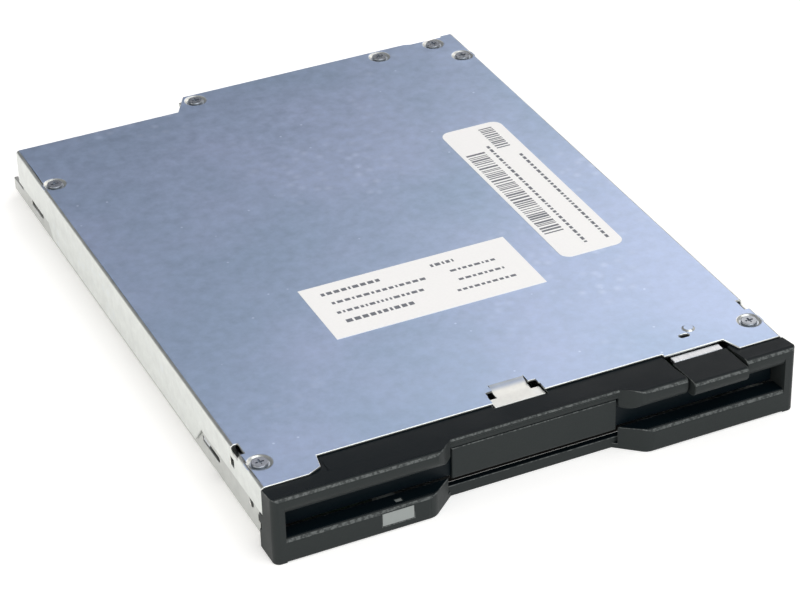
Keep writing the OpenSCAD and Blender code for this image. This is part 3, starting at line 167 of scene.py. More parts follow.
def add(tree, kind, inputs=None, **settings):
    """Adds one node: settings go to its properties, and inputs to its sockets, as values or as links."""
    made = tree.nodes.new(kind)
    for name, value in settings.items():
        setattr(made, name, value)
    for key, value in (inputs or {}).items():
        if isinstance(value, bpy.types.NodeSocket):
            tree.links.new(value, made.inputs[key])
        else:
            made.inputs[key].default_value = value
    return made


def finish(name, **sockets):
    """A new material whose shader has these constant sockets, with its tree, shader and coordinates."""
    made = bpy.data.materials.new(name)
    made.use_nodes = True
    tree = made.node_tree
    shader = tree.nodes["Principled BSDF"]
    for key, value in sockets.items():
        shader.inputs[key.replace("_", " ")].default_value = value
    where = add(tree, "ShaderNodeTexCoord").outputs["Object"]
    return made, tree, shader, where


def per_mm(size):
    """Texture scale whose features are about this many millimetres wide."""
    return 1 / (size * MM)


def waves_per_mm(size):
    """Scale of a wave texture that repeats every so many millimetres: it draws sin(20 scale x)."""
    return 2 * math.pi * per_mm(size) / 20


def zinc_sheet(name, colour, tint, side, cut, rough, speck, top):
    """Zinc-plated rolled steel: satin, softly mottled by the plating, with fine rolling lines, a few bright
    specks and clusters of pale spots. Faces that do not look straight up, and the top where it lies below its
    full height, take the pale side colour as a painted reflection of the lamps and the floor. Forward-looking
    faces close behind the bezel take the cut colour, which the pan uses as painted shade and the cover as a
    painted highlight."""
    made, tree, shader, where = finish(name, Metallic=1.0)
    normal = add(tree, "ShaderNodeNewGeometry").outputs["Normal"]
    facing = add(tree, "ShaderNodeSeparateXYZ", {0: normal})
    place = add(tree, "ShaderNodeSeparateXYZ", {0: where})
    # painted reflection: faces that do not look straight up, and the top pressed below its full height, take
    # the pale side colour for the lamp and floor light they reflect
    level = add(tree, "ShaderNodeMapRange", {
        "Value": facing.outputs["Z"], "From Min": 0.94, "From Max": 0.985})
    raised = add(tree, "ShaderNodeMapRange", {
        "Value": place.outputs["Z"], "From Min": top - 0.5 * MM, "From Max": top - 0.15 * MM})
    flat = add(tree, "ShaderNodeMath", {
        0: level.outputs["Result"], 1: raised.outputs["Result"]}, operation="MINIMUM")
    cloud = add(tree, "ShaderNodeTexNoise", {
        "Vector": where, "Scale": per_mm(34), "Detail": 3.0, "Roughness": 0.5})
    mottle = add(tree, "ShaderNodeTexNoise", {
        "Vector": where, "Scale": per_mm(2.4), "Detail": 5.0, "Roughness": 0.65})
    blend = add(tree, "ShaderNodeMapRange", {
        "Value": cloud.outputs["Fac"], "From Min": 0.36, "From Max": 0.64})
    sheet = add(tree, "ShaderNodeMix", {
        "Factor": blend.outputs["Result"], COLOUR_0: colour, COLOUR_1: tint}, data_type="RGBA")
    plated = add(tree, "ShaderNodeMix", {
        "Factor": flat.outputs["Value"], COLOUR_0: side, COLOUR_1: sheet.outputs[MIXED]}, data_type="RGBA")
    # faces that look forward and lie close behind the bezel take the cut colour: painted shade on the pan, a
    # painted highlight on the cover
    ahead = add(tree, "ShaderNodeMapRange", {
        "Value": facing.outputs["Y"], "From Min": -0.3, "From Max": -0.6})
    near = add(tree, "ShaderNodeMapRange", {
        "Value": place.outputs["Y"], "From Min": FRONT + 9 * MM, "From Max": FRONT + 8.7 * MM})
    front_edge_mask = add(tree, "ShaderNodeMath", {
        0: ahead.outputs["Result"], 1: near.outputs["Result"]}, operation="MINIMUM")
    base = add(tree, "ShaderNodeMix", {
        "Factor": front_edge_mask.outputs["Value"], COLOUR_0: plated.outputs[MIXED], COLOUR_1: cut}, data_type="RGBA")
    shade = add(tree, "ShaderNodeMapRange", {
        "Value": mottle.outputs["Fac"], "From Min": 0.3, "From Max": 0.7, "To Min": 0.9, "To Max": 1.08})
    grey = add(tree, "ShaderNodeCombineColor", {channel: shade.outputs["Result"] for channel in range(3)})
    tone = add(tree, "ShaderNodeMix", {
        "Factor": 1.0, COLOUR_0: base.outputs[MIXED], COLOUR_1: grey.outputs["Color"]},
        data_type="RGBA", blend_type="MULTIPLY")
    cells = add(tree, "ShaderNodeTexVoronoi", {"Vector": where, "Scale": per_mm(5.5), "Randomness": 1.0})
    dots = add(tree, "ShaderNodeMapRange", {
        "Value": cells.outputs["Distance"], "From Min": 0.03, "From Max": 0.05,
        "To Min": speck, "To Max": 0.0})
    # pale spots, gathered in clusters where a coarse noise is high
    spot_clusters = add(tree, "ShaderNodeTexNoise", {"Vector": where, "Scale": per_mm(24), "Detail": 1.0})
    patch = add(tree, "ShaderNodeMapRange", {
        "Value": spot_clusters.outputs["Fac"], "From Min": 0.55, "From Max": 0.7})
    spots = add(tree, "ShaderNodeTexVoronoi", {"Vector": where, "Scale": per_mm(2.6), "Randomness": 1.0})
    mapped_marks = add(tree, "ShaderNodeMapRange", {
        "Value": spots.outputs["Distance"], "From Min": 0.02, "From Max": 0.4,
        "To Min": speck * 0.55, "To Max": 0.0})
    pale_specks = add(tree, "ShaderNodeMath", {
        0: patch.outputs["Result"], 1: mapped_marks.outputs["Result"]}, operation="MULTIPLY")
    marks = add(tree, "ShaderNodeMath", {
        0: pale_specks.outputs["Value"], 1: dots.outputs["Result"]}, operation="MAXIMUM")
    marked = add(tree, "ShaderNodeMix", {
        "Factor": marks.outputs["Value"], COLOUR_0: tone.outputs[MIXED], COLOUR_1: linear("#dbe8fb")},
        data_type="RGBA")
    tree.links.new(marked.outputs[MIXED], shader.inputs["Base Color"])
    rougher = add(tree, "ShaderNodeMapRange", {
        "Value": mottle.outputs["Fac"], "From Min": 0.25, "From Max": 0.75,
        "To Min": rough - 0.03, "To Max": rough + 0.04})
    tree.links.new(rougher.outputs["Result"], shader.inputs["Roughness"])
    # rolling lines are a few hundredths of a millimetre apart; drawn at 0.35 mm so that they show
    lines = add(tree, "ShaderNodeMapping", {
        "Vector": where, "Scale": (per_mm(0.35), per_mm(14), per_mm(0.35))})
    rolled = add(tree, "ShaderNodeTexNoise", {
        "Vector": lines.outputs["Vector"], "Scale": 1.0, "Detail": 3.0})
    bump = add(tree, "ShaderNodeBump", {
        "Height": rolled.outputs["Fac"], "Strength": 0.1, "Distance": 0.05 * MM})
    tree.links.new(bump.outputs["Normal"], shader.inputs["Normal"])
    return made


def moulded(name, colour, rough, grain, depth, gloss=0.5, painted_shade=None, behind=1.0):
    """Moulded ABS or acetal: spark-eroded grain from the mould and a faint unevenness of gloss.
    With a colour for painted shade, faces that look up or lie behind this Y take that near-black colour as
    painted shade, and the rounded edges between front and top get pale specks as painted highlights."""
    made, tree, shader, where = finish(name, IOR=1.53, Specular_IOR_Level=gloss)
    pits = add(tree, "ShaderNodeTexNoise", {
        "Vector": where, "Scale": per_mm(grain), "Detail": 3.0, "Roughness": 0.6})
    sheen = add(tree, "ShaderNodeTexNoise", {"Vector": where, "Scale": per_mm(9), "Detail": 3.0})
    tone = add(tree, "ShaderNodeMapRange", {
        "Value": sheen.outputs["Fac"], "From Min": 0.3, "From Max": 0.7,
        "To Min": rough - 0.05, "To Max": rough + 0.06})
    tree.links.new(tone.outputs["Result"], shader.inputs["Roughness"])
    grain_shade_and_highlight = add(tree, "ShaderNodeMix", {
        "Factor": pits.outputs["Fac"], COLOUR_0: tuple(colour), COLOUR_1: toned(colour, 1.22)},
        data_type="RGBA")
    if painted_shade:
        normal = add(tree, "ShaderNodeNewGeometry").outputs["Normal"]
        facing = add(tree, "ShaderNodeSeparateXYZ", {0: normal})
        place = add(tree, "ShaderNodeSeparateXYZ", {0: where})
        # painted shade: faces that look up, and faces behind the Y given, take the near-black shade colour
        upward = add(tree, "ShaderNodeMapRange", {
            "Value": facing.outputs["Z"], "From Min": 0.88, "From Max": 0.97})
        deep = add(tree, "ShaderNodeMapRange", {
            "Value": place.outputs["Y"], "From Min": behind, "From Max": behind + 0.1 * MM})
        smooth = add(tree, "ShaderNodeMath", {
            0: upward.outputs["Result"], 1: deep.outputs["Result"]}, operation="MAXIMUM")
        grain_shade_and_highlight = add(tree, "ShaderNodeMix", {
            "Factor": smooth.outputs["Value"], COLOUR_0: grain_shade_and_highlight.outputs[MIXED], COLOUR_1: painted_shade},
            data_type="RGBA")
        # painted highlight: rounded edges whose faces look half way between front and up get pale specks for
        # the lamps' glints on them
        edge = add(tree, "ShaderNodeMath", {0: facing.outputs["Z"], 1: 0.55, 2: 0.25}, operation="COMPARE")
        chips = add(tree, "ShaderNodeTexNoise", {"Vector": where, "Scale": per_mm(0.45), "Detail": 3.0})
        edge_highlight_specks = add(tree, "ShaderNodeMapRange", {
            "Value": chips.outputs["Fac"], "From Min": 0.4, "From Max": 0.6, "To Min": 0.1, "To Max": 0.55})
        pale_specks = add(tree, "ShaderNodeMath", {
            0: edge.outputs["Value"], 1: edge_highlight_specks.outputs["Result"]}, operation="MULTIPLY")
        grain_shade_and_highlight = add(tree, "ShaderNodeMix", {
            "Factor": pale_specks.outputs["Value"], COLOUR_0: grain_shade_and_highlight.outputs[MIXED], COLOUR_1: linear("#767a79")},
            data_type="RGBA")
    tree.links.new(grain_shade_and_highlight.outputs[MIXED], shader.inputs["Base Color"])
    bump = add(tree, "ShaderNodeBump", {
        "Height": pits.outputs["Fac"], "Strength": 0.35, "Distance": depth * MM})
    tree.links.new(bump.outputs["Normal"], shader.inputs["Normal"])
    return made


def metal(name, colour, rough, stretch=(1, 1, 1), lines=0.4, depth=0.02):
    """Turned, drawn or stamped metal: fine tool lines along the stretched axis, seen as a brushed gloss."""
    made, tree, shader, where = finish(name, Metallic=1.0)
    way = add(tree, "ShaderNodeMapping", {
        "Vector": where, "Scale": tuple(per_mm(lines) * s for s in stretch)})
    marks = add(tree, "ShaderNodeTexNoise", {"Vector": way.outputs["Vector"], "Scale": 1.0, "Detail": 4.0})
    mapped_marks = add(tree, "ShaderNodeMapRange", {
        "Value": marks.outputs["Fac"], "From Min": 0.3, "From Max": 0.7,
        "To Min": max(0.04, rough - 0.08), "To Max": rough + 0.1})
    tree.links.new(mapped_marks.outputs["Result"], shader.inputs["Roughness"])
    tone = add(tree, "ShaderNodeMix", {
        "Factor": marks.outputs["Fac"], COLOUR_0: toned(colour, 0.88), COLOUR_1: tuple(colour)},
        data_type="RGBA")
    tree.links.new(tone.outputs[MIXED], shader.inputs["Base Color"])
    bump = add(tree, "ShaderNodeBump", {
        "Height": marks.outputs["Fac"], "Strength": 0.15, "Distance": depth * MM})
    tree.links.new(bump.outputs["Normal"], shader.inputs["Normal"])
    return made


def paper(name, colour):
    """Coated label paper: nearly white and matt, with a faint fibre tone."""
    made, tree, shader, where = finish(name, IOR=1.47, Roughness=0.42)
    fibre = add(tree, "ShaderNodeTexNoise", {"Vector": where, "Scale": per_mm(0.5), "Detail": 5.0})
    tone = add(tree, "ShaderNodeMix", {
        "Factor": fibre.outputs["Fac"], COLOUR_0: toned(colour, 0.94), COLOUR_1: tuple(colour)},
        data_type="RGBA")
    tree.links.new(tone.outputs[MIXED], shader.inputs["Base Color"])
    bump = add(tree, "ShaderNodeBump", {
        "Height": fibre.outputs["Fac"], "Strength": 0.1, "Distance": 0.02 * MM})
    tree.links.new(bump.outputs["Normal"], shader.inputs["Normal"])
    return made


def ink(name, colour):
    """Thermal print: dull dark ink that is a little uneven."""
    made, tree, shader, where = finish(name, IOR=1.45, Roughness=0.6)
    grain = add(tree, "ShaderNodeTexNoise", {"Vector": where, "Scale": per_mm(0.3), "Detail": 4.0})
    tone = add(tree, "ShaderNodeMix", {
        "Factor": grain.outputs["Fac"], COLOUR_0: tuple(colour), COLOUR_1: toned(colour, 1.8, 0.05)},
        data_type="RGBA")
    tree.links.new(tone.outputs[MIXED], shader.inputs["Base Color"])
    return made


def clear_plastic(name, colour, through):
    """Moulded polycarbonate or cast epoxy: frosted, lets some light through."""
    made, tree, shader, where = finish(name, IOR=1.585, Transmission_Weight=through)
    frost = add(tree, "ShaderNodeTexNoise", {"Vector": where, "Scale": per_mm(0.6), "Detail": 4.0})
    tone = add(tree, "ShaderNodeMapRange", {"Value": frost.outputs["Fac"], "To Min": 0.22, "To Max": 0.42})
    tree.links.new(tone.outputs["Result"], shader.inputs["Roughness"])
    mix = add(tree, "ShaderNodeMix", {
        "Factor": frost.outputs["Fac"], COLOUR_0: toned(colour, 0.92), COLOUR_1: tuple(colour)},
        data_type="RGBA")
    tree.links.new(mix.outputs[MIXED], shader.inputs["Base Color"])
    return made


def circuit_board(name, mask, track):
    """Glass-epoxy board under solder mask: copper tracks show as paler lines on a 1.3 mm grid."""
    made, tree, shader, where = finish(name, IOR=1.5, Roughness=0.3)
    grid = add(tree, "ShaderNodeTexBrick", {
        "Vector": where, "Color1": (0, 0, 0, 1), "Color2": (0, 0, 0, 1), "Mortar": (1, 1, 1, 1),
        "Scale": per_mm(1.3), "Mortar Size": 0.09, "Brick Width": 3.7, "Row Height": 1.0}, offset=0.37)
    tone = add(tree, "ShaderNodeMix", {
        "Factor": grid.outputs["Color"], COLOUR_0: mask, COLOUR_1: track}, data_type="RGBA")
    tree.links.new(tone.outputs[MIXED], shader.inputs["Base Color"])
    bump = add(tree, "ShaderNodeBump", {
        "Height": grid.outputs["Color"], "Strength": 0.3, "Distance": 0.03 * MM})
    tree.links.new(bump.outputs["Normal"], shader.inputs["Normal"])
    return made


def wound_wire(name, colour):
    """Enamelled copper winding: wire 0.12 mm thick, drawn at 0.5 mm so that its turns show."""
    made, tree, shader, where = finish(
        name, Metallic=1.0, Roughness=0.32, Coat_Weight=0.5, Coat_Roughness=0.15)
    rings = add(tree, "ShaderNodeTexWave", {
        "Vector": where, "Scale": waves_per_mm(0.5), "Distortion": 0.6, "Detail": 2.0},
        wave_type="RINGS", rings_direction="Z")
    # the darker colour between the turns is painted shade in the grooves between the wires
    tone = add(tree, "ShaderNodeMix", {
        "Factor": rings.outputs["Fac"], COLOUR_0: toned(colour, 0.45), COLOUR_1: tuple(colour)},
        data_type="RGBA")
    tree.links.new(tone.outputs[MIXED], shader.inputs["Base Color"])
    bump = add(tree, "ShaderNodeBump", {
        "Height": rings.outputs["Fac"], "Strength": 0.6, "Distance": 0.08 * MM})
    tree.links.new(bump.outputs["Normal"], shader.inputs["Normal"])
    return made


def ribbon_film(name, film, copper):
    """Polyimide film cable: amber film over copper tracks, which run along Y. Real ones are 0.5 mm apart, and
    they are drawn 1 mm apart so that they show."""
    made, tree, shader, where = finish(name, IOR=1.7, Roughness=0.25)
    tracks = add(tree, "ShaderNodeTexWave", {
        "Vector": where, "Scale": waves_per_mm(1.0), "Distortion": 0.0},
        wave_type="BANDS", bands_direction="X")
    edge = add(tree, "ShaderNodeMapRange", {
        "Value": tracks.outputs["Fac"], "From Min": 0.4, "From Max": 0.6})
    tone = add(tree, "ShaderNodeMix", {
        "Factor": edge.outputs["Result"], COLOUR_0: film, COLOUR_1: copper}, data_type="RGBA")
    tree.links.new(tone.outputs[MIXED], shader.inputs["Base Color"])
    return made


def look(nodes, material):
    """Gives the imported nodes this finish."""
    for name in nodes:
        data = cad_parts[name].data
        data.materials.clear()
        data.materials.append(material)


def edge_weights(mesh, width):
    """1 for each edge that can be rounded by the whole width, and 0 for the others. An edge is sharp where
    its two faces turn outwards by more than SHARP: the cross product of their normals then runs along it.
    An edge of length l that meets it at an angle t leaves it room: a share of l sin t, or of l tan(t / 2) if
    both are sharp, and any amount if it is not sharp and nearly runs straight on. The least room at the two
    ends must reach the width."""
    share = 0.45
    straight_on = -0.87
    ends = np.empty(2 * len(mesh.edges), int)
    mesh.edges.foreach_get("vertices", ends)
    points = np.empty(3 * len(mesh.vertices))
    mesh.vertices.foreach_get("co", points)
    points = points.reshape(-1, 3)
    edge_of = np.empty(len(mesh.loops), int)
    mesh.loops.foreach_get("edge_index", edge_of)
    corners = np.empty(len(mesh.polygons), int)
    mesh.polygons.foreach_get("loop_total", corners)
    normals = np.empty(3 * len(mesh.polygons))
    mesh.polygons.foreach_get("normal", normals)
    order = np.argsort(edge_of, kind="stable")
    normals = normals.reshape(-1, 3)[np.repeat(np.arange(len(corners)), corners)[order]]
    paired = np.flatnonzero(np.bincount(edge_of, minlength=len(mesh.edges)) == 2)
    first = np.searchsorted(edge_of[order], paired)
    start = np.empty(len(mesh.loops), int)
    mesh.loops.foreach_get("vertex_index", start)
    start = start[order][first]
    way = points[ends.reshape(-1, 2)[paired].sum(1) - start] - points[start]
    sharp = np.zeros(len(mesh.edges), bool)
    sharp[paired] = (normals[first] * normals[first + 1]).sum(1) < math.cos(SHARP)
    sharp[paired] &= (np.cross(normals[first], normals[first + 1]) * way).sum(1) > 0
    away = points[ends.reshape(-1, 2)[:, ::-1].ravel()] - points[ends]
    length = np.linalg.norm(away, axis=1)
    away /= length[:, None]
    edge = np.repeat(np.arange(len(mesh.edges)), 2)
    order = np.argsort(ends, kind="stable")
    room = np.full(len(mesh.edges), np.inf)
    for step in range(1, np.bincount(ends).max()):
        one, two = order[:-step], order[step:]
        meet = ends[one] == ends[two]
        one, two = one[meet], two[meet]
        along = np.clip((away[one] * away[two]).sum(1), -0.9999, 0.9999)
        slide = np.where(along < straight_on, np.inf, np.sqrt(1 - along ** 2))
        mitre = np.sqrt((1 - along) / (1 + along))
        free = share * np.where(sharp[edge[one]] & sharp[edge[two]], mitre, slide)
        np.minimum.at(room, edge[one], length[two] * free)
        np.minimum.at(room, edge[two], length[one] * free)
    return (sharp & (room >= width)).astype(float)


def broken_edges(node, body, width, material):
    """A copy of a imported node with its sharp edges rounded: its doubles are merged, its flat triangles joined
    and its edges bevelled."""
    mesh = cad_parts[node].data.copy()
    mesh.name = node + "_moulded"
    form = bmesh.new()
    form.from_mesh(mesh)
    bmesh.ops.remove_doubles(form, verts=form.verts, dist=2e-6)
    bmesh.ops.dissolve_degenerate(form, edges=form.edges, dist=1e-6)
    bmesh.ops.dissolve_limit(form, angle_limit=math.radians(1.0), verts=form.verts, edges=form.edges)
    form.to_mesh(mesh)
    form.free()
    for layer in [a.name for a in mesh.attributes if a.name.startswith("custom_normal")]:
        mesh.attributes.remove(mesh.attributes[layer])
    weights = mesh.attributes.new("bevel_weight_edge", "FLOAT", "EDGE")
    weights.data.foreach_set("value", edge_weights(mesh, width))
    made = bpy.data.objects.new(node + "_finished", mesh)
    bpy.context.scene.collection.objects.link(made)
    mesh.materials.clear()
    mesh.materials.append(material)
    bevel = made.modifiers.new("Edges", "BEVEL")
    bevel.width = width
    bevel.segments = 2
    bevel.limit_method = "WEIGHT"
    bevel.use_clamp_overlap = False
    weigh = made.modifiers.new("Flat faces stay flat", "WEIGHTED_NORMAL")
    weigh.keep_sharp = True
    mesh.polygons.foreach_set("use_smooth", np.ones(len(mesh.polygons), bool))
    mesh.set_sharp_from_angle(angle=SHARP)
    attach(made, body)
    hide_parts(node)


def surface(name, points, faces, material, smooth=True):
    """A mesh object from arrays of points in metres and of faces."""
    mesh = bpy.data.meshes.new(name)
    mesh.from_pydata(points.reshape(-1, 3).tolist(), [], faces.tolist())
    mesh.update()
    mesh.polygons.foreach_set("use_smooth", np.full(len(mesh.polygons), smooth))
    mesh.materials.append(material)
    made = bpy.data.objects.new(name, mesh)
    bpy.context.scene.collection.objects.link(made)
    return made


def merged(made):
    """Joins points that coincide and turns the faces outwards."""
    form = bmesh.new()
    form.from_mesh(made.data)
    bmesh.ops.remove_doubles(form, verts=form.verts, dist=1e-7)
    bmesh.ops.recalc_face_normals(form, faces=form.faces)
    form.to_mesh(made.data)
    form.free()
    return made


def grid_faces(rows, columns):
    """Quads of a grid whose columns close on themselves: (i, j), (i, j+1), (i+1, j+1), (i+1, j)."""
    i, j = np.meshgrid(np.arange(rows - 1), np.arange(columns), indexing="ij")
    k = (j + 1) % columns
    corners = [i * columns + j, i * columns + k, (i + 1) * columns + k, (i + 1) * columns + j]
    return np.stack(corners, -1).reshape(-1, 4)


def tube(path, side, radius, sides=8):
    """Round wire: ring k of the path is path + radius (cos a n + sin a b), n being side made square to the
    path's tangent and b their cross product. Each end closes on a point on the path."""
    tangent = np.gradient(path, axis=0)
    tangent /= np.linalg.norm(tangent, axis=1, keepdims=True)
    normal = side - (side * tangent).sum(1, keepdims=True) * tangent
    normal /= np.linalg.norm(normal, axis=1, keepdims=True)
    other = np.cross(tangent, normal)
    a = np.linspace(0, 2 * math.pi, sides, endpoint=False)[None, :, None]
    rings = path[:, None, :] + radius * (np.cos(a) * normal[:, None, :] + np.sin(a) * other[:, None, :])
    first = np.repeat(path[:1, None, :], sides, 1)
    last = np.repeat(path[-1:, None, :], sides, 1)
    rings = np.concatenate([first, rings, last])
    return rings, grid_faces(len(rings), sides)


def slide_spring(low, high, turns, wire):
    """Wire wound round a line along Y, at the right end of its box. The angle grows evenly along the line,
    and the distance from it grows from 0 at each end to the coil's radius over about an eighth of it."""
    coil = 0.5 * MM
    taper = 0.12
    straight = 0.15
    x, z = high.x - coil - wire, (low.z + high.z) / 2
    t = np.linspace(0, 1, turns * 14)
    reach = coil * np.clip(np.minimum(t / taper, (1 - t) / taper) - straight, 0, 1)
    a = 2 * math.pi * turns * t
    out = np.column_stack([np.cos(a), np.zeros_like(a), np.sin(a)])
    line = np.column_stack([np.full_like(t, x), low.y + (high.y - low.y) * t, np.full_like(t, z)])
    return tube(line + reach[:, None] * out, out, wire)


def lever_spring(post, z0, z1, wire):
    """Torsion spring round a post: a helix of five turns from z0 up to z1, with a straight leg forward from
    its first point and one backward from its last."""
    reach = 1.9 * MM
    turns = 5
    leg_points = 8
    a = np.linspace(0, 2 * math.pi * turns, turns * 28)
    out = np.column_stack([np.cos(a), np.sin(a), np.zeros_like(a)])
    coil = np.column_stack([
        post.x + reach * np.cos(a), post.y + reach * np.sin(a), np.linspace(z0, z1, len(a))])
    leg = np.linspace(4.5, 0.15, leg_points)[:, None] * MM
    rest = coil[0] + leg * (0, -1, 0)
    push = coil[-1] + leg[::-1] * (-0.09, 1, 0)
    across = np.tile([1.0, 0, 0], (leg_points, 1))
    return tube(np.concatenate([rest, coil, push]), np.concatenate([across, out, across]), wire)


def screw_thread(low, high, pitch):
    """Lead screw along Y: at the angle a and the place y its radius is the outer one less a groove that
    follows the triangle wave of (y / pitch + a / 2 pi) times the starts, cut flat at top and bottom. Near
    each end it steps down to a plain journal. Each end closes on a point on the axis."""
    starts = 4
    around = 28
    groove = 0.28 * MM
    journal = 0.6 * MM
    front_journal = 0.95 * MM
    rear_journal = 1.95 * MM
    step = 0.12 * MM
    x, z = (low.x + high.x) / 2, (low.z + high.z) / 2
    outer = (high.x - low.x) / 2
    t = np.linspace(0, 1, 420)[:, None]
    a = np.linspace(0, 2 * math.pi, around, endpoint=False)[None, :]
    y = low.y + (high.y - low.y) * t
    shoulder = np.clip(np.minimum(y - low.y - front_journal, high.y - rear_journal - y) / step, 0, 1)
    wave = np.abs((y / pitch + a / (2 * math.pi)) * starts % 1 - 0.5) * 2
    thread = outer - groove * np.clip(wave * 2.2 - 0.6, 0, 1)
    radius = journal + (thread - journal) * shoulder
    points = np.stack([
        x + radius * np.cos(a), np.broadcast_to(y, radius.shape), z + radius * np.sin(a)], -1)
    ends = [np.broadcast_to(np.array([x, v, z]), (1, around, 3)) for v in (low.y, high.y)]
    points = np.concatenate([ends[0], points, ends[1]])
    return points, grid_faces(len(points), around)


def ribbon_strip(low, high, middle, bend, half):
    """Flat cable: it runs back along the board, turns up and over in a half circle of radius bend about
    middle, and comes forward to the carriage. At each path point (y, z) it is a rectangle as wide as its box,
    half thick to each side along the path's normal (-dz, dy). Each end closes on a point on the path."""
    turn = np.linspace(-math.pi / 2, math.pi / 2, 33)
    flat = np.linspace(low.y, middle.y, 24)[:-1]
    held = np.linspace(middle.y, middle.y - 2.6 * MM, 8)[1:]
    y = np.concatenate([flat, middle.y + bend * np.cos(turn), held])
    below, above = np.full(len(flat), middle.z - bend), np.full(len(held), middle.z + bend)
    z = np.concatenate([below, middle.z + bend * np.sin(turn), above])
    slope = np.gradient(np.column_stack([y, z]), axis=0)
    slope /= np.linalg.norm(slope, axis=1, keepdims=True)
    inner = np.column_stack([y + half * slope[:, 1], z - half * slope[:, 0]])
    outer = np.column_stack([y - half * slope[:, 1], z + half * slope[:, 0]])
    corners = [(low.x, inner), (high.x, inner), (high.x, outer), (low.x, outer)]
    rings = np.stack([np.column_stack([np.full(len(y), x), side]) for x, side in corners], 1)
    first = np.repeat(rings[:1].mean(1, keepdims=True), len(corners), 1)
    last = np.repeat(rings[-1:].mean(1, keepdims=True), len(corners), 1)
    rings = np.concatenate([first, rings, last])
    return rings, grid_faces(len(rings), len(corners))


def bar_row(rng, widths, count, start, length):
    """Both ends of each printed bar: the running sum of drawn widths, stretched from start to this length,
    with every second width a bar."""
    edges = np.cumsum(rng.choice(widths, count))
    edges = start + edges / edges[-1] * length
    return zip(edges[0::2], edges[1::2])


def dash_row(rng, start, stop, steps, count, gap):
    """Both ends of each printed dash: the running sum of drawn steps from start up to stop, less a gap."""
    edges = start + np.cumsum(rng.uniform(*steps, count))
    edges = edges[edges < stop]
    return zip(edges[:-1], edges[1:] - gap)


def blocks(boxes):
    """Closed blocks from rows of x0, x1, y0, y1, z0, z1 in metres: eight corners and six faces each."""
    boxes = np.asarray(boxes, float)
    pick = np.array([[0, 2, 4], [1, 2, 4], [1, 3, 4], [0, 3, 4], [0, 2, 5], [1, 2, 5], [1, 3, 5], [0, 3, 5]])
    points = boxes[:, pick]
    quads = np.array([[3, 2, 1, 0], [4, 5, 6, 7], [0, 1, 5, 4], [1, 2, 6, 5], [2, 3, 7, 6], [3, 0, 4, 7]])
    faces = (quads[None] + 8 * np.arange(len(boxes))[:, None, None]).reshape(-1, 4)
    return points, faces


class DRIVE_OT_stage(bpy.types.Operator):
    """Sets the floor, the soft lamps and the camera"""
    bl_idname = "drive.stage"
    bl_label = "Studio"

    def execute(self, context):
        settings = context.scene.drive_studio
        made, tree, shader, where = finish("Painted studio floor", Roughness=0.7, Emission_Strength=0.34,
                                           Emission_Color=tuple(settings.floor))
        cloud = add(tree, "ShaderNodeTexNoise", {"Vector": where, "Scale": 3.0, "Detail": 2.0})
        tone = add(tree, "ShaderNodeMix", {
            "Factor": cloud.outputs["Fac"], COLOUR_0: toned(settings.floor, 0.985),
            COLOUR_1: tuple(settings.floor)}, data_type="RGBA")
        tree.links.new(tone.outputs[MIXED], shader.inputs["Base Color"])
        half = 4
        corners = half * np.array([[-1, -1, 0], [1, -1, 0], [1, 1, 0], [-1, 1, 0]], float)
        surface("studio_floor", corners, np.array([[0, 1, 2, 3]]), made, smooth=False)
        world = bpy.data.worlds.new("Soft studio")
        world.use_nodes = True
        backdrop = world.node_tree.nodes["Background"]
        backdrop.inputs["Color"].default_value = linear("#f3f5fa")
        backdrop.inputs["Strength"].default_value = 0.26 * settings.light
        context.scene.world = world
        # degrees round from straight behind, degrees up, metres away, metres wide and high, watts, colour
        lamps = [
            ("lamp_back_right", 52, 36, 1.1, (0.8, 0.8), 3.0, "#fff8f2"),
            ("lamp_back", 10, 46, 1.2, (0.6, 0.5), 0.68, "#fff8fd"),
            ("lamp_left", -98, 24, 1.0, (0.8, 0.5), 3.0, "#fff6ea"),
            ("lamp_top", 150, 62, 1.3, (1.0, 0.7), 6.0, "#ffffff"),
            ("lamp_front", 192, 26, 1.6, (2.2, 1.4), 17.0, "#ffffff"),
        ]
        for name, turn, rise, far, size, power, colour in lamps:
            lamp = bpy.data.lights.new(name, "AREA")
            lamp.shape = "RECTANGLE"
            lamp.size, lamp.size_y = size
            lamp.energy = power * settings.light
            lamp.color = linear(colour)[:3]
            a, b = math.radians(turn), math.radians(rise)
            out = Vector((math.sin(a) * math.cos(b), math.cos(a) * math.cos(b), math.sin(b)))
            towards = out.to_track_quat("Z", "Y").to_matrix().to_4x4()
            holder = bpy.data.objects.new(name, lamp)
            holder.matrix_world = Matrix.Translation(out * far) @ towards
            context.scene.collection.objects.link(holder)
        a, b, c = settings.azimuth, settings.elevation, settings.roll
        back = Vector((math.sin(a) * math.cos(b), -math.cos(a) * math.cos(b), math.sin(b)))
        right = Vector((math.cos(a), math.sin(a), 0))
        up = back.cross(right)
        across = math.cos(c) * right + math.sin(c) * up
        upright = math.cos(c) * up - math.sin(c) * right
        axes = Matrix((across, upright, back)).transposed()
        # the camera stands off a point inside the drive by this much, along its own axes
        stand = spot(0, 63, 6) + axes @ Vector((3.21 * MM, -4.704 * MM, settings.distance))
        view = bpy.data.cameras.new("camera")
        view.sensor_fit = "HORIZONTAL"
        view.sensor_width = 36
        view.lens = settings.lens
        view.clip_start = 0.01
        holder = bpy.data.objects.new("camera", view)
        holder.matrix_world = Matrix.Translation(stand) @ axes.to_4x4()
        context.scene.collection.objects.link(holder)
        context.scene.camera = holder
        context.scene.view_settings.view_transform = "Standard"
        return {"FINISHED"}


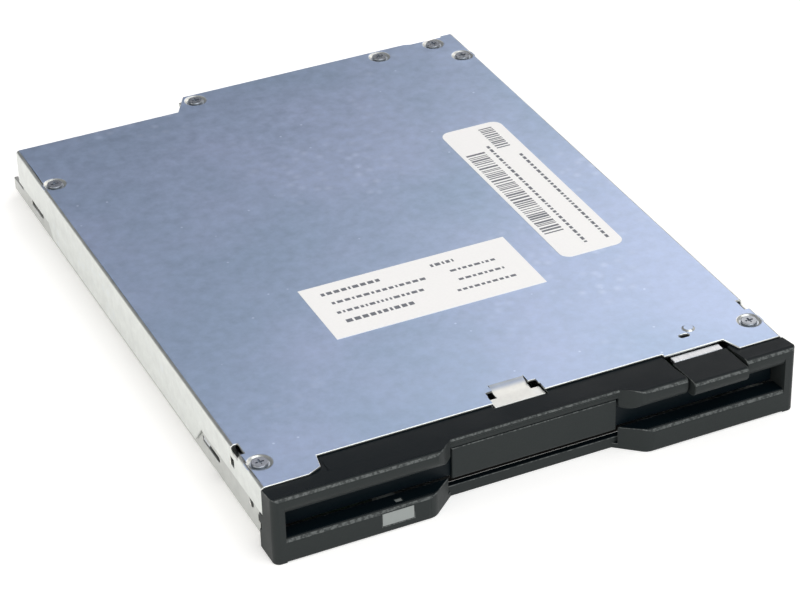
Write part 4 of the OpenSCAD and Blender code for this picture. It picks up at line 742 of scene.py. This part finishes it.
class DRIVE_OT_case(bpy.types.Operator):
    """Finishes the top cover and the chassis pan"""
    bl_idname = "drive.case"
    bl_label = "Case"

    def execute(self, context):
        sizes, colours = context.scene.drive_sizes, context.scene.drive_colours
        painted_side_light, pan_colour = tuple(colours.painted_side_light), tuple(colours.pan)
        # the cover's sides, pressed tab and front edge take the pale side colour as a painted reflection
        cover = zinc_sheet(
            "Blue-passivated zinc sheet", tuple(colours.cover), tuple(colours.cover_tint), side=painted_side_light,
            cut=painted_side_light, rough=0.36, speck=0.5, top=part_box("wide_label_sheet")[0].z)
        broken_edges("top_cover", "case", sizes.sheet_edge, cover)
        # the pan's front edge, seen through the gap under the slot door, is painted dark as painted shade
        pan = zinc_sheet(
            "Clear zinc sheet", pan_colour, linear("#cacac5"), side=pan_colour, cut=linear("#2c2a28"),
            rough=0.4, speck=0.2, top=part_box("chassis")[1].z)
        broken_edges("chassis", "case", sizes.sheet_edge, pan)
        return {"FINISHED"}


class DRIVE_OT_bezel(bpy.types.Operator):
    """Finishes the bezel, the slot door, the eject button and the light"""
    bl_idname = "drive.bezel"
    bl_label = "Bezel"

    def execute(self, context):
        sizes, colours = context.scene.drive_sizes, context.scene.drive_colours
        # the near-black colour is painted shade, tinted blue as a painted reflection of a dark room
        mould = {"rough": 0.45, "grain": 0.3, "depth": 0.06, "gloss": 0.12, "painted_shade": linear("#061015")}
        grained = moulded("Charcoal moulded ABS", tuple(colours.bezel), **mould)
        broken_edges("front_bezel", "case", sizes.bezel_edge, grained)
        broken_edges("eject_button", "eject", sizes.bezel_edge, grained)
        # the flap's faces behind its pad, in the shade of the bezel's brow, are painted near-black as painted
        # shade
        flap = moulded("Charcoal flap ABS", tuple(colours.bezel), behind=FRONT + 3.5 * MM, **mould)
        broken_edges("slot_door", "door", sizes.bezel_edge, flap)
        look(["light_guide"], clear_plastic("Frosted polycarbonate", tuple(colours.lens), 0.25))
        look(["front_light"], clear_plastic("Green tinted epoxy", linear("#7fc56b"), 0.4))
        return {"FINISHED"}


class DRIVE_OT_labels(bpy.types.Operator):
    """Finishes the two labels and their generic print"""
    bl_idname = "drive.labels"
    bl_label = "Labels"

    def execute(self, context):
        colours = context.scene.drive_colours
        look(["wide_label_sheet", "narrow_label_sheet"], paper("Coated label paper", tuple(colours.label)))
        rng = np.random.default_rng(7)
        # each mark is x0, x1, y0, y1 in millimetres, with y counted back from the bezel's front plane
        tall_bars = bar_row(rng, [0.35, 0.5, 0.8], count=84, start=51.7, length=32.7)
        marks = [[27.6, 31.5, a, b] for a, b in tall_bars]
        short_bars = bar_row(rng, [0.3, 0.45, 0.6], count=24, start=84.2, length=8.4)
        marks += [[34.3, 37.1, a, b] for a, b in short_bars]
        for x, start, stop in ((32.7, 45.5, 86.5), (37.0, 45.5, 81.5)):
            row = dash_row(rng, start, stop, (0.8, 1.7), count=60, gap=0.45)
            marks += [[x, x + 0.6, a, b] for a, b in row]
        wide_rows = (
            (51.6, -17.5, -4.5, 0.9), (48.4, -17.5, 3.0, 0.75), (45.2, -17.5, 1.0, 0.75),
            (42.0, -17.5, -2.0, 1.0), (51.6, 3.0, 10.0, 0.9), (48.6, 6.0, 16.5, 0.65),
            (45.4, 6.0, 17.5, 0.65), (42.2, 4.0, 17.5, 0.65))
        for y, start, stop, tall in wide_rows:
            row = dash_row(rng, start, stop, (0.7, 1.6), count=40, gap=0.4)
            marks += [[a, b, y, y + tall] for a, b in row]
        x0, x1, y0, y1 = np.array(marks).T * MM
        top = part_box("wide_label_sheet")[1].z
        sunk = np.full(len(marks), top - 0.01 * MM)
        proud = np.full(len(marks), top + 0.012 * MM)
        points, faces = blocks(np.column_stack([x0, x1, FRONT + y0, FRONT + y1, sunk, proud]))
        made = surface("label_print", points, faces, ink("Thermal print", tuple(colours.ink)), smooth=False)
        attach(made, "case")
        return {"FINISHED"}


class DRIVE_OT_fasteners(bpy.types.Operator):
    """Finishes the screws"""
    bl_idname = "drive.fasteners"
    bl_label = "Fasteners"

    def execute(self, context):
        steel = metal("Zinc-plated screw steel", linear("#9aa0a8"), 0.3, lines=0.9, depth=0.004)
        for node in ("cover_screws", "motor_screws", "bracket_screws", "board_screws"):
            broken_edges(node, "case", SMALL_EDGE, steel)
        return {"FINISHED"}


class DRIVE_OT_loading(bpy.types.Operator):
    """Finishes the eject slide, disk holder, lever and springs"""
    bl_idname = "drive.loading"
    bl_label = "Loading gear"

    def execute(self, context):
        sizes = context.scene.drive_sizes
        stamped = metal("Stamped zinc steel", linear("#c2c6cb"), 0.3, (1, 0.05, 1), 0.3)
        for node, body in (("eject_slide", "eject"), ("slide_cams", "eject"), ("disk_holder", "holder"),
                           ("holder_rails", "holder")):
            broken_edges(node, body, sizes.sheet_edge, stamped)
        acetal = moulded("White acetal", linear("#e9e8e2"), 0.3, 0.6, 0.01)
        look(["holder_pins"], acetal)
        broken_edges("shutter_lever", "lever", SMALL_EDGE, acetal)
        drawn = metal("Drawn spring steel", linear("#c9ccd2"), 0.2, lines=0.2)
        look(["lever_pivot"], drawn)
        low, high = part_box("slide_springs")
        y0, y1, z = low.y, high.y, (low.z + high.z) / 2
        rings, faces = slide_spring(low, high, sizes.spring_turns, sizes.wire)
        right = rings.reshape(-1, 3)
        both = np.concatenate([right, right * (-1, 1, 1)])
        pair = merged(surface("slide_spring_pair", both, np.concatenate([faces, faces + len(right)]), drawn))
        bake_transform(pair, "case", "eject", start=(0, y0, z), end=(0, y1, z))
        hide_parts("slide_springs")
        low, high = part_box("lever_spring")
        post = (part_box("lever_pivot")[0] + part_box("lever_pivot")[1]) / 2
        wire = 0.2 * MM
        z0, z1 = low.z + wire, high.z - wire
        rings, faces = lever_spring(post, z0, z1, wire)
        twist = merged(surface("lever_spring_wire", rings, faces, drawn))
        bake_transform(twist, "case", "lever", start=(post.x, post.y, z0), end=(post.x, post.y, z1))
        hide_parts("lever_spring")
        return {"FINISHED"}


class DRIVE_OT_spindle(bpy.types.Operator):
    """Finishes the spindle motor"""
    bl_idname = "drive.spindle"
    bl_label = "Spindle motor"

    def execute(self, context):
        look(["motor_base"], circuit_board("Coated motor base", linear("#2f5238"), linear("#4d7a55")))
        look(["motor_bearing"], metal("Sintered bronze", linear("#a8813f"), 0.4, lines=0.15))
        look(["stator_core"], metal("Laminated silicon steel", linear("#70747c"), 0.5, (1, 1, 6), 0.3))
        look(["stator_coils"], wound_wire("Enamelled copper wire", linear("#c06a2e")))
        look(["rotor_magnet"], moulded("Bonded ferrite", linear("#35363a"), 0.6, 0.2, 0.02))
        turned = metal("Turned aluminium", linear("#d8d9da"), 0.25, lines=0.3)
        steel = metal("Pressed rotor steel", linear("#bfc3c8"), 0.3)
        broken_edges("rotor_cup", "rotor", FINE_EDGE, steel)
        broken_edges("spindle_hub", "rotor", FINE_EDGE, turned)
        look(["spindle_shaft", "drive_pin"], metal("Ground shaft steel", linear("#d2d5da"), 0.14, lines=0.2))
        return {"FINISHED"}


class DRIVE_OT_heads(bpy.types.Operator):
    """Finishes the head carriage, its guide rods, lead screw and stepper motor"""
    bl_idname = "drive.heads"
    bl_label = "Heads"

    def execute(self, context):
        sizes = context.scene.drive_sizes
        glass_filled = moulded("Glass-filled moulding", linear("#4a4e57"), 0.5, 0.35, 0.02)
        broken_edges("head_carriage", "carriage", SMALL_EDGE, glass_filled)
        broken_edges("upper_arm", "arm", SMALL_EDGE, glass_filled)
        look(["rod_supports"], glass_filled)
        ceramic = moulded("Polished head ceramic", linear("#1d1d20"), 0.15, 0.4, 0.003)
        look(["lower_head", "upper_head"], ceramic)
        ground = metal("Ground rod steel", linear("#d5d8dc"), 0.14, (1, 0.05, 1), 0.2)
        look(["guide_rods", "arm_pin"], ground)
        plated = metal("Nickel-plated can", linear("#c4c6c6"), 0.25, lines=0.5)
        broken_edges("stepper_motor", "case", FINE_EDGE, plated)
        broken_edges("stepper_bracket", "case", sizes.sheet_edge, plated)
        look(["track_sensor"], moulded("Black sensor moulding", linear("#1e1f21"), 0.45, 0.3, 0.02))
        brass = metal("Rolled brass thread", linear("#b9924a"), 0.25, lines=0.2)
        low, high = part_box("lead_screw")
        points, faces = screw_thread(low, high, sizes.thread_pitch)
        screw = merged(surface("lead_screw_thread", points, faces, brass))
        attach(screw, "screw")
        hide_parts("lead_screw")
        film = ribbon_film("Polyimide ribbon", linear("#b5651d"), linear("#d99a4a"))
        low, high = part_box("head_ribbon")
        half = 0.06 * MM
        bend = (high.z - low.z) / 2 - half
        middle = Vector((0, high.y - bend - half, low.z + half + bend))
        points, faces = ribbon_strip(low, high, middle, bend, half)
        ribbon = merged(surface("head_ribbon_film", points, faces, film, smooth=False))
        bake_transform(ribbon, "case", "carriage", start=(low.x, middle.y, low.z + 2 * half),
                 end=(low.x, middle.y, high.z - 2 * half))
        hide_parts("head_ribbon")
        return {"FINISHED"}


class DRIVE_OT_electronics(bpy.types.Operator):
    """Finishes the boards, chips, switches and the cable connector"""
    bl_idname = "drive.electronics"
    bl_label = "Electronics"

    def execute(self, context):
        look(["main_board", "sensor_board"],
             circuit_board("Solder-masked board", linear("#1f6a3f"), linear("#2f8a55")))
        epoxy = moulded("Epoxy chip body", linear("#232426"), 0.5, 0.25, 0.01)
        look(["board_chips", "switch_bodies"], epoxy)
        acetal = moulded("White acetal plungers", linear("#ecebe6"), 0.3, 0.6, 0.01)
        look(["protect_plunger", "present_plunger", "density_plunger"], acetal)
        ivory = moulded("Ivory connector moulding", linear("#ded3b8"), 0.4, 0.5, 0.01)
        broken_edges("cable_connector", "case", FINE_EDGE, ivory)
        brown = moulded("Brown latch moulding", linear("#5a3a22"), 0.4, 0.5, 0.01)
        broken_edges("connector_latch", "latch", FINE_EDGE, brown)
        look(["connector_contacts"], metal("Gold-flashed contacts", linear("#d9b25c"), 0.2, lines=0.2))
        return {"FINISHED"}


class DRIVE_PT_looks(bpy.types.Panel):
    """Lists the finishing steps and their settings"""
    bl_label = "Slim floppy drive"
    bl_idname = "DRIVE_PT_looks"
    bl_space_type = "VIEW_3D"
    bl_region_type = "UI"
    bl_category = "Drive"

    def draw(self, context):
        scene = context.scene
        for settings in (scene.drive_sizes, scene.drive_colours, scene.drive_studio):
            for name in settings.bl_rna.properties.keys():
                if name not in ("rna_type", "name"):
                    self.layout.prop(settings, name)
        for step in STEPS:
            self.layout.operator(step.bl_idname)


STEPS = (DRIVE_OT_stage, DRIVE_OT_case, DRIVE_OT_bezel, DRIVE_OT_labels, DRIVE_OT_fasteners, DRIVE_OT_loading,
         DRIVE_OT_spindle, DRIVE_OT_heads, DRIVE_OT_electronics)
CLASSES = (DriveSizes, DriveColours, StudioSettings, *STEPS, DRIVE_PT_looks)


def register():
    """Registers the classes and gives the scene their settings."""
    for each in CLASSES:
        bpy.utils.register_class(each)
    bpy.types.Scene.drive_sizes = bpy.props.PointerProperty(type=DriveSizes)
    bpy.types.Scene.drive_colours = bpy.props.PointerProperty(type=DriveColours)
    bpy.types.Scene.drive_studio = bpy.props.PointerProperty(type=StudioSettings)


def unregister():
    """Takes the settings from the scene and unregisters the classes."""
    del bpy.types.Scene.drive_sizes
    del bpy.types.Scene.drive_colours
    del bpy.types.Scene.drive_studio
    for each in reversed(CLASSES):
        bpy.utils.unregister_class(each)


def main():
    """Runs every step in order."""
    register()
    bpy.ops.drive.stage()
    bpy.ops.drive.case()
    bpy.ops.drive.bezel()
    bpy.ops.drive.labels()
    bpy.ops.drive.fasteners()
    bpy.ops.drive.loading()
    bpy.ops.drive.spindle()
    bpy.ops.drive.heads()
    bpy.ops.drive.electronics()


if __name__ == "__main__":
    main()
